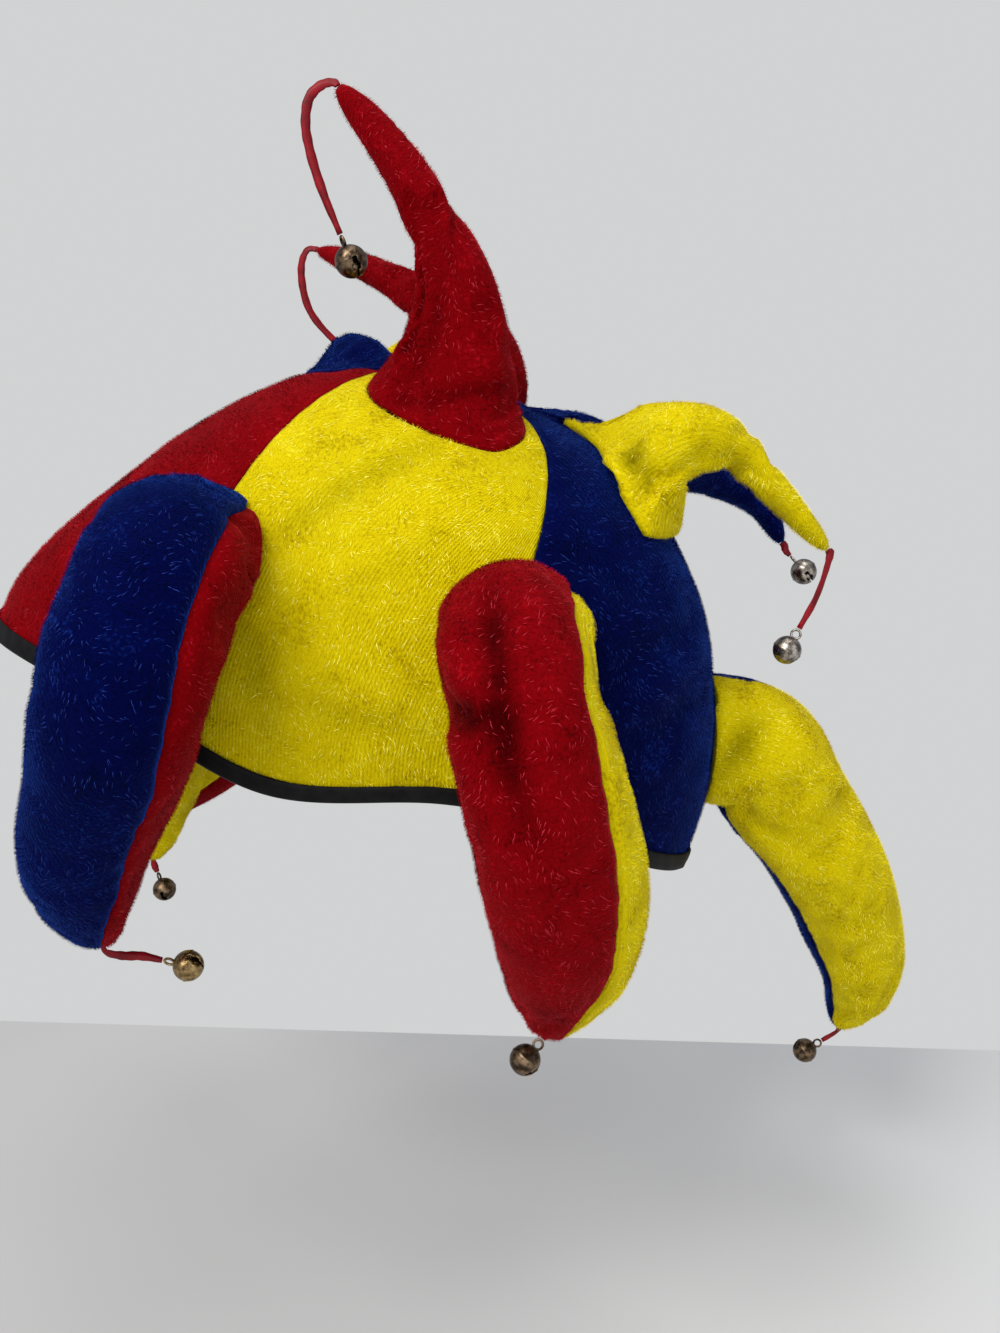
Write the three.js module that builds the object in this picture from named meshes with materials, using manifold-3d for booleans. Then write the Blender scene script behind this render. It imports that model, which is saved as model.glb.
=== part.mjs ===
// Jester hat with twelve stuffed horns: a hollow crown of six gores, two rings of horns,
// a bound rim, and a bell on a ribbon at the tip of every horn.
// Units are millimetres. The origin is the inside top of the crown, where a head meets it, and +Z is up.
// The crown has a frame of its own: x to its right, y to its back, z from the rim to the top.

import * as THREE from "three";
import { mergeVertices } from "three/addons/utils/BufferGeometryUtils.js";
import Module from "manifold-3d";

const wasm = await Module();
wasm.setup();

// Crown
const CROWN_WIDTH = 262;
const CROWN_DEPTH = 138;
const CROWN_HEIGHT = 141;
const CROWN_LEAN = 18.5;
const GORE_WALL = 1.8;
const SEAM_GAP = 0.3;
const ARCH_GAP = 0.7;

// Rim binding
const BINDING_HEIGHT = 7;
const BINDING_WALL = 0.9;
const BINDING_FLOOR = 1.2;

// Lower horns, each sewn from two halves
const LOWER_HORN_LENGTH = 180;
const LOWER_HORN_WIDTH = 55;
const LOWER_HORN_THICKNESS = 46;
const LOWER_HORN_ROOT = 14;

// Upper horns, each standing on the arch of a gore
const UPPER_HORN_LENGTH = 118;
const UPPER_HORN_WIDTH = 50;
const UPPER_HORN_THICKNESS = 40;

// Ribbons and bells
const RIBBON_WIDTH = 3;
const RIBBON_THICKNESS = 0.7;
const RIBBON_LEAD = 1.5;
const BELL_DIAMETER = 11;
const BELL_WALL = 0.8;
const BELL_SLIT = 1.6;
const BELL_LOOP_DIAMETER = 3.2;
const BELL_LOOP_WIRE = 0.9;

// Facets
const GORE_COLUMNS = 8;
const GORE_ROWS = 8;
const HALF_SECTION_STEPS = 7;
const BELL_SIDES = 10;
const BELL_ROWS = 6;
const BELL_HOLLOW_SIDES = 6;
const BELL_HOLLOW_ROWS = 4;
const BELL_LOOP_SIDES = 5;
const BELL_LOOP_STEPS = 6;
const RIBBON_SIDES = 8;
const RIBBON_STEP = 7.5;

// Small steps that the crown's outward directions are measured over
const TURN_STEP = 2;
const CLIMB_STEP = 0.02;

// Half sections of the crown from rim to top, as shares of its height, half width and half depth
const CROWN_PROFILE = [
  { climb: 0, rise: 0, width: 1, depth: 0.9, shift: 0 },
  { climb: 0.15, rise: 0.2, width: 0.97, depth: 0.97, shift: 0.02 },
  { climb: 0.3, rise: 0.4, width: 0.89, depth: 1, shift: 0.045 },
  { climb: 0.45, rise: 0.58, width: 0.785, depth: 0.97, shift: 0.065 },
  { climb: 0.58, rise: 0.72, width: 0.68, depth: 0.88, shift: 0.075 },
  { climb: 0.7, rise: 0.83, width: 0.565, depth: 0.75, shift: 0.075 },
  { climb: 0.83, rise: 0.925, width: 0.42, depth: 0.56, shift: 0.065 },
  { climb: 0.92, rise: 0.978, width: 0.26, depth: 0.34, shift: 0.045 },
  { climb: 1, rise: 1, width: 0, depth: 0, shift: 0.02 },
];

// How far the rim is drawn up above its lowest place, round the crown, as shares of its height
const RIM_LIFT = [
  { turn: -90, lift: 0.07 },
  { turn: -35, lift: 0.075 },
  { turn: -8, lift: 0.01 },
  { turn: 16, lift: 0.11 },
  { turn: 32, lift: 0.12 },
  { turn: 60, lift: 0.05 },
  { turn: 90, lift: 0.03 },
  { turn: 150, lift: 0.05 },
  { turn: 210, lift: 0.04 },
  { turn: 270, lift: 0.07 },
];

// The six gore seams: their turns round the crown at the rim, half way up and at the top
const SEAMS = [
  { foot: -26, middle: -41, head: -56 },
  { foot: 20, middle: 18, head: 30 },
  { foot: 96, middle: 100, head: 104 },
  { foot: 157, middle: 152, head: 146 },
  { foot: 197, middle: 198, head: 203 },
  { foot: 236, middle: 232, head: 240 },
];

// Each gore with the cloth it is cut from, and the cloth and fullness of the upper horn on it
const GORES = [
  { name: "front", cloth: "yellow", horn: "red", fullness: 1 },
  { name: "right", cloth: "blue", horn: "yellow", fullness: 1 },
  { name: "back_right", cloth: "red", horn: "blue", fullness: 1.45 },
  { name: "back", cloth: "yellow", horn: "red", fullness: 0.85 },
  { name: "back_left", cloth: "blue", horn: "yellow", fullness: 0.7 },
  { name: "left", cloth: "red", horn: "blue", fullness: 0.55 },
];

// The arch at the top of each gore: how high it climbs at shares of the way across
const PLAIN_ARCH = [
  { share: 0, climb: 0.95 },
  { share: 0.2, climb: 0.8 },
  { share: 0.5, climb: 0.72 },
  { share: 0.8, climb: 0.8 },
  { share: 1, climb: 0.95 },
];
const FRONT_ARCH = [
  { share: 0, climb: 0.95 },
  { share: 0.12, climb: 0.83 },
  { share: 0.35, climb: 0.77 },
  { share: 0.75, climb: 0.76 },
  { share: 0.9, climb: 0.83 },
  { share: 1, climb: 0.95 },
];
const RIGHT_ARCH = [
  { share: 0, climb: 0.95 },
  { share: 0.2, climb: 0.95 },
  { share: 0.33, climb: 0.86 },
  { share: 0.44, climb: 0.75 },
  { share: 0.58, climb: 0.68 },
  { share: 0.76, climb: 0.68 },
  { share: 0.9, climb: 0.77 },
  { share: 1, climb: 0.95 },
];
const BACK_RIGHT_ARCH = [
  { share: 0, climb: 0.95 },
  { share: 0.2, climb: 0.77 },
  { share: 0.5, climb: 0.67 },
  { share: 0.8, climb: 0.75 },
  { share: 1, climb: 0.95 },
];
const LEFT_ARCH = [
  { share: 0, climb: 0.95 },
  { share: 0.25, climb: 0.83 },
  { share: 0.5, climb: 0.79 },
  { share: 0.75, climb: 0.83 },
  { share: 1, climb: 0.95 },
];
const ARCHES = [FRONT_ARCH, RIGHT_ARCH, BACK_RIGHT_ARCH, PLAIN_ARCH, PLAIN_ARCH, LEFT_ARCH];

// Corners of an upper horn's base above the ends of its arch, as shares of the way to the top
const BASE_SIDES = [0.45, 0.9];

// Centre lines of the upper horns from their bases, in the crown's frame, as shares of their length
const UPPER_ROUTES = [
  [
    { across: -0.04, back: -0.08, rise: 0.17 },
    { across: -0.1, back: -0.13, rise: 0.33 },
    { across: -0.22, back: -0.15, rise: 0.47 },
    { across: -0.36, back: -0.13, rise: 0.58 },
    { across: -0.51, back: -0.1, rise: 0.67 },
  ],
  [
    { across: 0.16, back: -0.04, rise: 0.06 },
    { across: 0.34, back: -0.07, rise: 0.1 },
    { across: 0.52, back: -0.04, rise: 0.11 },
    { across: 0.7, back: 0.02, rise: 0.05 },
    { across: 0.86, back: 0.05, rise: -0.04 },
  ],
  [
    { across: 0.19, back: 0.08, rise: 0.06 },
    { across: 0.38, back: 0.16, rise: 0.05 },
    { across: 0.57, back: 0.24, rise: 0.03 },
    { across: 0.71, back: 0.29, rise: 0 },
    { across: 0.82, back: 0.31, rise: -0.06 },
  ],
  [
    { across: -0.07, back: 0.03, rise: 0.16 },
    { across: -0.21, back: 0.12, rise: 0.25 },
    { across: -0.37, back: 0.24, rise: 0.3 },
    { across: -0.55, back: 0.37, rise: 0.33 },
    { across: -0.71, back: 0.5, rise: 0.34 },
  ],
  [
    { across: -0.02, back: 0.1, rise: 0.05 },
    { across: 0.01, back: 0.23, rise: 0.05 },
    { across: 0.07, back: 0.35, rise: -0.02 },
    { across: 0.14, back: 0.44, rise: -0.13 },
    { across: 0.2, back: 0.5, rise: -0.26 },
  ],
  [
    { across: -0.085, back: 0.1, rise: 0.01 },
    { across: -0.165, back: 0.22, rise: -0.02 },
    { across: -0.23, back: 0.34, rise: -0.09 },
    { across: -0.3, back: 0.43, rise: -0.2 },
    { across: -0.35, back: 0.49, rise: -0.33 },
  ],
];

// Sections of an upper horn along its length, as shares of its width and thickness.
// Round says how far the section has gone from the outline of its base to an oval.
const UPPER_GIRTH = [
  { along: 0.05, girth: 0.91, round: 0.15 },
  { along: 0.13, girth: 0.81, round: 0.5 },
  { along: 0.23, girth: 0.67, round: 0.85 },
  { along: 0.34, girth: 0.52, round: 1 },
  { along: 0.47, girth: 0.4, round: 1 },
  { along: 0.61, girth: 0.32, round: 1 },
  { along: 0.76, girth: 0.26, round: 1 },
  { along: 0.9, girth: 0.2, round: 1 },
  { along: 0.98, girth: 0.11, round: 1 },
];

// The six lower horns: how far up its seam each is sewn, the twist of its own seam, its two cloths
const LOWER_HORNS = [
  { name: "front_left", climb: 0.33, twist: -32, left: "blue", right: "red" },
  { name: "front_right", climb: 0.37, twist: -27, left: "red", right: "yellow" },
  { name: "right", climb: 0.24, twist: 0, left: "yellow", right: "blue" },
  { name: "back_right", climb: 0.34, twist: 0, left: "blue", right: "red" },
  { name: "back_left", climb: 0.34, twist: -35, left: "red", right: "yellow" },
  { name: "left", climb: 0.22, twist: 0, left: "yellow", right: "blue" },
];

// Centre lines of the lower horns from their roots, in the crown's frame, as shares of their length
const LOWER_ROUTES = [
  [
    { across: -0.01, back: -0.13, rise: -0.01 },
    { across: -0.01, back: -0.195, rise: -0.11 },
    { across: 0, back: -0.195, rise: -0.24 },
    { across: 0, back: -0.15, rise: -0.36 },
    { across: -0.01, back: -0.09, rise: -0.53 },
    { across: 0.03, back: -0.01, rise: -0.73 },
  ],
  [
    { across: 0.01, back: -0.12, rise: 0 },
    { across: 0.05, back: -0.19, rise: -0.08 },
    { across: 0.11, back: -0.2, rise: -0.18 },
    { across: 0.19, back: -0.17, rise: -0.31 },
    { across: 0.25, back: -0.11, rise: -0.45 },
    { across: 0.29, back: 0, rise: -0.65 },
  ],
  [
    { across: 0.11, back: 0.03, rise: 0 },
    { across: 0.23, back: 0.09, rise: -0.09 },
    { across: 0.39, back: 0.16, rise: -0.22 },
    { across: 0.52, back: 0.22, rise: -0.36 },
    { across: 0.61, back: 0.26, rise: -0.49 },
    { across: 0.64, back: 0.29, rise: -0.63 },
  ],
  [
    { across: 0.06, back: 0.13, rise: 0 },
    { across: 0.11, back: 0.23, rise: -0.09 },
    { across: 0.16, back: 0.28, rise: -0.24 },
    { across: 0.21, back: 0.3, rise: -0.42 },
    { across: 0.26, back: 0.29, rise: -0.6 },
    { across: 0.29, back: 0.25, rise: -0.76 },
  ],
  [
    { across: -0.02, back: 0.13, rise: 0 },
    { across: -0.05, back: 0.24, rise: -0.11 },
    { across: -0.09, back: 0.32, rise: -0.29 },
    { across: -0.14, back: 0.37, rise: -0.5 },
    { across: -0.21, back: 0.39, rise: -0.71 },
    { across: -0.31, back: 0.37, rise: -0.91 },
  ],
  [
    { across: 0.01, back: 0.12, rise: -0.02 },
    { across: 0.03, back: 0.2, rise: -0.12 },
    { across: 0.05, back: 0.25, rise: -0.28 },
    { across: 0.07, back: 0.27, rise: -0.45 },
    { across: 0.1, back: 0.28, rise: -0.63 },
    { across: 0.14, back: 0.27, rise: -0.8 },
  ],
];

// Sections of a lower horn along its length, as shares of its width and thickness
const LOWER_GIRTH = [
  { along: 0, width: 0.74, thickness: 1.12 },
  { along: 0.09, width: 0.8, thickness: 1.1 },
  { along: 0.18, width: 0.92, thickness: 1.05 },
  { along: 0.28, width: 1, thickness: 1 },
  { along: 0.41, width: 1, thickness: 0.98 },
  { along: 0.55, width: 0.97, thickness: 0.96 },
  { along: 0.68, width: 0.9, thickness: 0.9 },
  { along: 0.79, width: 0.78, thickness: 0.8 },
  { along: 0.89, width: 0.58, thickness: 0.62 },
  { along: 0.96, width: 0.36, thickness: 0.4 },
  { along: 1, width: 0.12, thickness: 0.14 },
];

// Ribbon routes from the tips of the horns, as displayed: x to the right, y to the back, z up
const UPPER_RIBBONS = [
  [[-3.5, 0, -0.5], [-7.5, 0, -4], [-9, 0, -11], [-8, 0, -19], [-4.5, 0, -31], [0.5, 0, -43.5]],
  [[-0.5, 0, -4], [-4, 0, -16], [-9.5, 0, -27]],
  [[0.8, 0, -2], [2.5, 0, -4]],
  [[-3, 0, 0], [-5.5, 0, -4], [-6, 0, -12], [-3, 0, -24], [6, 0, -35], [15.5, 0, -42]],
  [[0, 1, -4], [0, 1.5, -14]],
  [[-2, 1, -2], [-4, 2, -8]],
];
const LOWER_RIBBONS = [
  [[1.5, -0.5, -2.5], [7, -1, -3.5], [13, -1, -3.5], [20, -1, -5]],
  [[-0.3, -0.3, -1.5], [-2, -1.3, -3.2]],
  [[-1.5, 0, -2], [-7.5, 0, -6]],
  [[0, 0, -4], [0, 1, -14]],
  [[0.8, 0, -2], [2, 0, -4]],
  [[0.5, 0, -2], [1.5, 0, -5]],
];

const CLOTH_COLOURS = { red: 0xa80a1c, yellow: 0xf2d80c, blue: 0x10207e };
const CLOTHS = Object.fromEntries(
  Object.entries(CLOTH_COLOURS).map(([name, color]) => [
    name,
    new THREE.MeshStandardMaterial({ name: `${name}_velour`, color, roughness: 0.9 }),
  ]),
);
const SATIN_RED = new THREE.MeshStandardMaterial({ name: "red_satin", color: 0x9c0d16, roughness: 0.45 });
const SATIN_BLACK = new THREE.MeshStandardMaterial({ name: "black_satin", color: 0x0b0b0c, roughness: 0.5 });
const BRASS = new THREE.MeshStandardMaterial({
  name: "aged_brass",
  color: 0x8a744c,
  roughness: 0.35,
  metalness: 1,
});

// Reads a column of a table at a key, along a smooth curve through its rows.
function readTable(table, key, column, at) {
  const last = table.length - 1;
  let low = 0;
  while (low < last - 1 && at > table[low + 1][key]) {
    low += 1;
  }
  const before = table[Math.max(low - 1, 0)];
  const start = table[low];
  const end = table[low + 1];
  const after = table[Math.min(low + 2, last)];
  const span = end[key] - start[key];
  const share = THREE.MathUtils.clamp((at - start[key]) / span, 0, 1);
  const slopeStart = ((end[column] - before[column]) / (end[key] - before[key])) * span;
  const slopeEnd = ((after[column] - start[column]) / (after[key] - start[key])) * span;
  const square = share * share;
  const cube = square * share;
  return (
    (2 * cube - 3 * square + 1) * start[column] +
    (cube - 2 * square + share) * slopeStart +
    (3 * square - 2 * cube) * end[column] +
    (cube - square) * slopeEnd
  );
}

// The turn of a seam at a height on the crown.
function seamTurn(index, climb) {
  const seam = SEAMS[index % SEAMS.length];
  const round = index >= SEAMS.length ? 360 : 0;
  const rows = [
    { at: 0, turn: seam.foot },
    { at: 0.5, turn: seam.middle },
    { at: 1, turn: seam.head },
  ];
  return readTable(rows, "at", "turn", climb) + round;
}

// How far the rim is drawn up at a turn.
function rimLift(turn) {
  const wrapped = turn > 270 ? turn - 360 : turn;
  return readTable(RIM_LIFT, "turn", "lift", wrapped) * CROWN_HEIGHT;
}

// A point of the crown's outer face. Turn 0 is the front and climb runs from rim to top.
function crownFace(turn, climb) {
  const angle = THREE.MathUtils.degToRad(turn);
  const halfWidth = (readTable(CROWN_PROFILE, "climb", "width", climb) * CROWN_WIDTH) / 2;
  const halfDepth = (readTable(CROWN_PROFILE, "climb", "depth", climb) * CROWN_DEPTH) / 2;
  const shift = (readTable(CROWN_PROFILE, "climb", "shift", climb) * CROWN_WIDTH) / 2;
  const rise = readTable(CROWN_PROFILE, "climb", "rise", climb) * CROWN_HEIGHT;
  const lift = rimLift(turn) * Math.max(1 - climb, 0) ** 3;
  return new THREE.Vector3(
    shift + halfWidth * Math.sin(angle),
    -halfDepth * Math.cos(angle),
    rise + lift,
  );
}

// The outward direction of the crown at a point.
function crownNormal(turn, climb) {
  const middle = THREE.MathUtils.clamp(climb, CLIMB_STEP / 2, 1 - CLIMB_STEP);
  const side = crownFace(turn + TURN_STEP, middle).sub(crownFace(turn - TURN_STEP, middle));
  return side.cross(crownRise(turn, middle)).normalize();
}

// The direction up the crown's face at a point.
function crownRise(turn, climb) {
  const low = Math.max(climb - CLIMB_STEP / 2, 0);
  return crownFace(turn, low + CLIMB_STEP).sub(crownFace(turn, low)).normalize();
}

// The turns of all the gores' columns round the crown at a height.
function crownTurns(climb) {
  return GORES.flatMap((_, index) =>
    Array.from({ length: GORE_COLUMNS }, (__, column) => goreTurn(index, column / GORE_COLUMNS, climb)),
  );
}

// A point off the crown's outer face. A negative offset goes into the wall.
function crownPoint(turn, climb, offset = 0) {
  if (climb >= 1) {
    return crownFace(turn, 1).add(new THREE.Vector3(0, 0, offset));
  }
  return crownFace(turn, climb).addScaledVector(crownNormal(turn, climb), offset);
}

// The turn at a share of the way across a gore, half a seam gap in from each seam.
function goreTurn(index, share, climb) {
  const left = seamTurn(index, climb);
  const right = seamTurn(index + 1, climb);
  const chord = crownFace(left, climb).distanceTo(crownFace(right, climb));
  const inset = SEAM_GAP / 2 / Math.max(chord, SEAM_GAP);
  return THREE.MathUtils.lerp(left, right, inset + share * (1 - 2 * inset));
}

// The climb of a gore's arch at a share of the way across it.
function archClimb(index, share) {
  return readTable(ARCHES[index], "share", "climb", share);
}

// A closed mesh from points and triangles, with its faces turned outwards.
function closedGeometry(points, triangles) {
  const volume = triangles.reduce((sum, [a, b, c]) => {
    return sum + points[a].dot(points[b].clone().cross(points[c]));
  }, 0);
  const turned = volume < 0 ? triangles.map(([a, b, c]) => [a, c, b]) : triangles;
  const geometry = new THREE.BufferGeometry().setFromPoints(points);
  geometry.setIndex(turned.flat());
  geometry.computeVertexNormals();
  return geometry;
}

// A wall between two grids of points, each a list of rows.
function wallGeometry(outer, inner) {
  const rows = outer.length;
  const columns = outer[0].length;
  const points = [...outer.flat(), ...inner.flat()];
  const at = (row, column, side) => side * rows * columns + row * columns + column;
  const triangles = [];
  const quad = (a, b, c, d) => triangles.push([a, b, c], [a, c, d]);
  for (let row = 0; row < rows - 1; row += 1) {
    for (let column = 0; column < columns - 1; column += 1) {
      const next = column + 1;
      quad(at(row, column, 0), at(row, next, 0), at(row + 1, next, 0), at(row + 1, column, 0));
      quad(at(row, column, 1), at(row + 1, column, 1), at(row + 1, next, 1), at(row, next, 1));
    }
    const end = columns - 1;
    quad(at(row, 0, 1), at(row, 0, 0), at(row + 1, 0, 0), at(row + 1, 0, 1));
    quad(at(row, end, 0), at(row, end, 1), at(row + 1, end, 1), at(row + 1, end, 0));
  }
  const top = rows - 1;
  for (let column = 0; column < columns - 1; column += 1) {
    const next = column + 1;
    quad(at(0, column, 1), at(0, next, 1), at(0, next, 0), at(0, column, 0));
    quad(at(top, column, 0), at(top, next, 0), at(top, next, 1), at(top, column, 1));
  }
  return closedGeometry(points, triangles);
}

// A body lofted through rings of points, closed to a point at each end.
function loftGeometry(rings, first, last) {
  const count = rings[0].length;
  const points = [...rings.flat(), first, last];
  const start = points.length - 2;
  const end = points.length - 1;
  const triangles = [];
  for (let side = 0; side < count; side += 1) {
    const next = (side + 1) % count;
    triangles.push([start, next, side]);
    for (let ring = 0; ring < rings.length - 1; ring += 1) {
      const low = ring * count;
      const high = low + count;
      triangles.push([low + side, low + next, high + next], [low + side, high + next, high + side]);
    }
    const rim = (rings.length - 1) * count;
    triangles.push([rim + side, rim + next, end]);
  }
  return closedGeometry(points, triangles);
}

// A geometry as a solid that can be joined and cut.
function toSolid(geometry) {
  const bare = new THREE.BufferGeometry();
  bare.setAttribute("position", geometry.getAttribute("position"));
  bare.setIndex(geometry.getIndex());
  const merged = mergeVertices(bare, 1e-4);
  return new wasm.Manifold(
    new wasm.Mesh({
      numProp: 3,
      vertProperties: new Float32Array(merged.getAttribute("position").array),
      triVerts: new Uint32Array(merged.getIndex().array),
    }),
  );
}

// A solid back as a geometry.
function toGeometry(solid) {
  const mesh = solid.getMesh();
  const geometry = new THREE.BufferGeometry();
  geometry.setAttribute("position", new THREE.BufferAttribute(new Float32Array(mesh.vertProperties), 3));
  geometry.setIndex(new THREE.BufferAttribute(new Uint32Array(mesh.triVerts), 1));
  geometry.computeVertexNormals();
  return geometry;
}

function named(name, geometry, material) {
  const mesh = new THREE.Mesh(geometry, material);
  mesh.name = name;
  return mesh;
}

// A gore of the crown: one layer of cloth from the binding up to the arch.
function goreMesh(index) {
  const gore = GORES[index];
  const grid = (offset) => {
    const rows = [];
    for (let row = 0; row <= GORE_ROWS; row += 1) {
      const line = [];
      for (let column = 0; column <= GORE_COLUMNS; column += 1) {
        const share = column / GORE_COLUMNS;
        const climb = (archClimb(index, share) * row) / GORE_ROWS;
        line.push(crownPoint(goreTurn(index, share, climb), climb, offset));
      }
      rows.push(line);
    }
    return rows;
  };
  return named(`gore_${gore.name}`, wallGeometry(grid(0), grid(-GORE_WALL)), CLOTHS[gore.cloth]);
}

// The binding folded round the rim, a closed band with a groove for the edge of the gores.
function bindingMesh() {
  const outer = SEAM_GAP + BINDING_WALL;
  const inner = -GORE_WALL - SEAM_GAP - BINDING_WALL;
  const top = BINDING_HEIGHT - BINDING_FLOOR - SEAM_GAP;
  const floor = -SEAM_GAP - BINDING_FLOOR;
  const section = [
    [outer, floor],
    [outer, top],
    [SEAM_GAP, top],
    [SEAM_GAP, -SEAM_GAP],
    [-GORE_WALL - SEAM_GAP, -SEAM_GAP],
    [-GORE_WALL - SEAM_GAP, top],
    [inner, top],
    [inner, floor],
  ];
  const points = [];
  const triangles = [];
  const turns = crownTurns(0);
  turns.forEach((turn, ring) => {
    const face = crownFace(turn, 0);
    const out = crownNormal(turn, 0);
    const up = crownRise(turn, 0);
    section.forEach(([offset, height]) => {
      points.push(face.clone().addScaledVector(out, offset).addScaledVector(up, height));
    });
    const next = (ring + 1) % turns.length;
    section.forEach((_, side) => {
      const beside = (side + 1) % section.length;
      const a = ring * section.length + side;
      const b = ring * section.length + beside;
      const c = next * section.length + beside;
      const d = next * section.length + side;
      triangles.push([a, b, c], [a, c, d]);
    });
  });
  return named("rim_binding", closedGeometry(points, triangles), SATIN_BLACK);
}

// The crown's whole outer form, grown by the gap that the lower horns keep to it.
function crownEnvelope() {
  const rows = 2 * GORE_ROWS;
  const rings = Array.from({ length: rows }, (_, row) => {
    const climb = row / rows;
    return crownTurns(climb).map((turn) => crownPoint(turn, climb, SEAM_GAP));
  });
  const floor = new THREE.Vector3(0, 0, 0);
  return toSolid(loftGeometry(rings, floor, crownPoint(0, 1, SEAM_GAP)));
}

// Stations along a curve, with a side and a front direction carried along it without twist.
function stations(curve, shares, front) {
  let tangent = curve.getTangentAt(0);
  let facing = front.clone().addScaledVector(tangent, -front.dot(tangent)).normalize();
  return shares.map((share) => {
    const next = curve.getTangentAt(share);
    const turn = new THREE.Quaternion().setFromUnitVectors(tangent, next);
    facing = facing.clone().applyQuaternion(turn).normalize();
    tangent = next;
    return {
      point: curve.getPointAt(share),
      tangent: next.clone(),
      front: facing.clone(),
      side: next.clone().cross(facing).normalize(),
    };
  });
}

// A curve from a root through rows of shares of a length.
function routeCurve(start, rows, length) {
  const points = rows.map(
    (row) =>
      new THREE.Vector3(
        start.x + row.across * length,
        start.y + row.back * length,
        start.z + row.rise * length,
      ),
  );
  return [start, ...points];
}

// The two halves of a lower horn, sewn on at a seam of the crown, and its tip.
function lowerHorn(index, envelope) {
  const horn = LOWER_HORNS[index];
  const turn = seamTurn(index, horn.climb);
  const out = crownNormal(turn, horn.climb);
  const root = crownPoint(turn, horn.climb);
  const up = crownRise(turn, horn.climb);
  const inside = root.clone().addScaledVector(out, -LOWER_HORN_ROOT);
  const route = routeCurve(root, LOWER_ROUTES[index], LOWER_HORN_LENGTH);
  const curve = new THREE.CatmullRomCurve3([inside, ...route], false, "centripetal");
  const places = stations(curve, LOWER_GIRTH.map((row) => row.along), up);
  const halves = [1, -1].map((way) => {
    const rings = places.map((place, ring) => {
      const row = LOWER_GIRTH[ring];
      const twist = THREE.MathUtils.degToRad(horn.twist * Math.min(row.along * 2, 1));
      const front = place.front.clone().applyAxisAngle(place.tangent, twist);
      const side = place.side.clone().applyAxisAngle(place.tangent, twist);
      const section = [];
      for (let step = 0; step <= HALF_SECTION_STEPS; step += 1) {
        const angle = (Math.PI * step) / HALF_SECTION_STEPS;
        const forward = (Math.cos(angle) * row.thickness * LOWER_HORN_THICKNESS) / 2;
        const aside = (Math.sin(angle) * row.width * LOWER_HORN_WIDTH) / 2 + SEAM_GAP / 2;
        section.push(
          place.point.clone().addScaledVector(front, forward).addScaledVector(side, way * aside),
        );
      }
      return section;
    });
    const middle = (section) =>
      section.reduce((sum, point) => sum.add(point), new THREE.Vector3()).divideScalar(section.length);
    const whole = loftGeometry(rings, middle(rings[0]), middle(rings[rings.length - 1]));
    return toGeometry(toSolid(whole).subtract(envelope));
  });
  const tip = places[places.length - 1];
  return {
    meshes: [
      named(`lower_horn_${horn.name}_left_half`, halves[0], CLOTHS[horn.left]),
      named(`lower_horn_${horn.name}_right_half`, halves[1], CLOTHS[horn.right]),
    ],
    tip: tip.point,
    direction: tip.tangent,
  };
}

// The outline of an upper horn's base on the crown, at an offset from its outer face.
function baseOutline(index, offset) {
  const outline = [];
  for (let column = 0; column <= GORE_COLUMNS; column += 1) {
    const share = column / GORE_COLUMNS;
    const climb = archClimb(index, share) + ARCH_GAP / CROWN_HEIGHT;
    outline.push(crownPoint(goreTurn(index, share, climb), climb, offset));
  }
  BASE_SIDES.forEach((share) => {
    const climb = THREE.MathUtils.lerp(archClimb(index, 1), 1, share);
    outline.push(crownPoint(goreTurn(index, 1, climb), climb, offset));
  });
  [...BASE_SIDES].reverse().forEach((share) => {
    const climb = THREE.MathUtils.lerp(archClimb(index, 0), 1, share);
    outline.push(crownPoint(goreTurn(index, 0, climb), climb, offset));
  });
  return outline;
}

// An upper horn, stuffed, from the inner face of the crown to its tip.
function upperHorn(index) {
  const gore = GORES[index];
  const base = baseOutline(index, 0);
  const under = baseOutline(index, -GORE_WALL);
  const centre = base
    .reduce((sum, point) => sum.add(point), new THREE.Vector3())
    .divideScalar(base.length);
  const middleClimb = (archClimb(index, 0) + archClimb(index, 0.5)) / 2;
  const middleTurn = goreTurn(index, 0.5, middleClimb);
  const seat = crownPoint(middleTurn, middleClimb, -GORE_WALL);
  const route = routeCurve(centre, UPPER_ROUTES[index], UPPER_HORN_LENGTH);
  const curve = new THREE.CatmullRomCurve3(route, false, "centripetal");
  const up = crownRise(middleTurn, middleClimb);
  const shares = [0, ...UPPER_GIRTH.map((row) => row.along), 1];
  const [foot, ...places] = stations(curve, shares, up);
  const local = base.map((point) => {
    const away = point.clone().sub(centre);
    return { front: away.dot(foot.front), side: away.dot(foot.side), along: away.dot(foot.tangent) };
  });
  const rings = UPPER_GIRTH.map((row, ring) => {
    const place = places[ring];
    return local.map((corner) => {
      const angle = Math.atan2(corner.front, corner.side);
      const ovalFront = (Math.sin(angle) * UPPER_HORN_THICKNESS * gore.fullness) / 2;
      const ovalSide = (Math.cos(angle) * UPPER_HORN_WIDTH * gore.fullness) / 2;
      const front = THREE.MathUtils.lerp(corner.front, ovalFront, row.round) * row.girth;
      const side = THREE.MathUtils.lerp(corner.side, ovalSide, row.round) * row.girth;
      const along = corner.along * (1 - row.round);
      return place.point
        .clone()
        .addScaledVector(place.front, front)
        .addScaledVector(place.side, side)
        .addScaledVector(place.tangent, along);
    });
  });
  const tip = places[places.length - 1];
  return {
    meshes: [
      named(
        `upper_horn_${gore.name}`,
        loftGeometry([under, base, ...rings], seat, tip.point),
        CLOTHS[gore.horn],
      ),
    ],
    tip: tip.point,
    direction: tip.tangent,
  };
}

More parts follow.
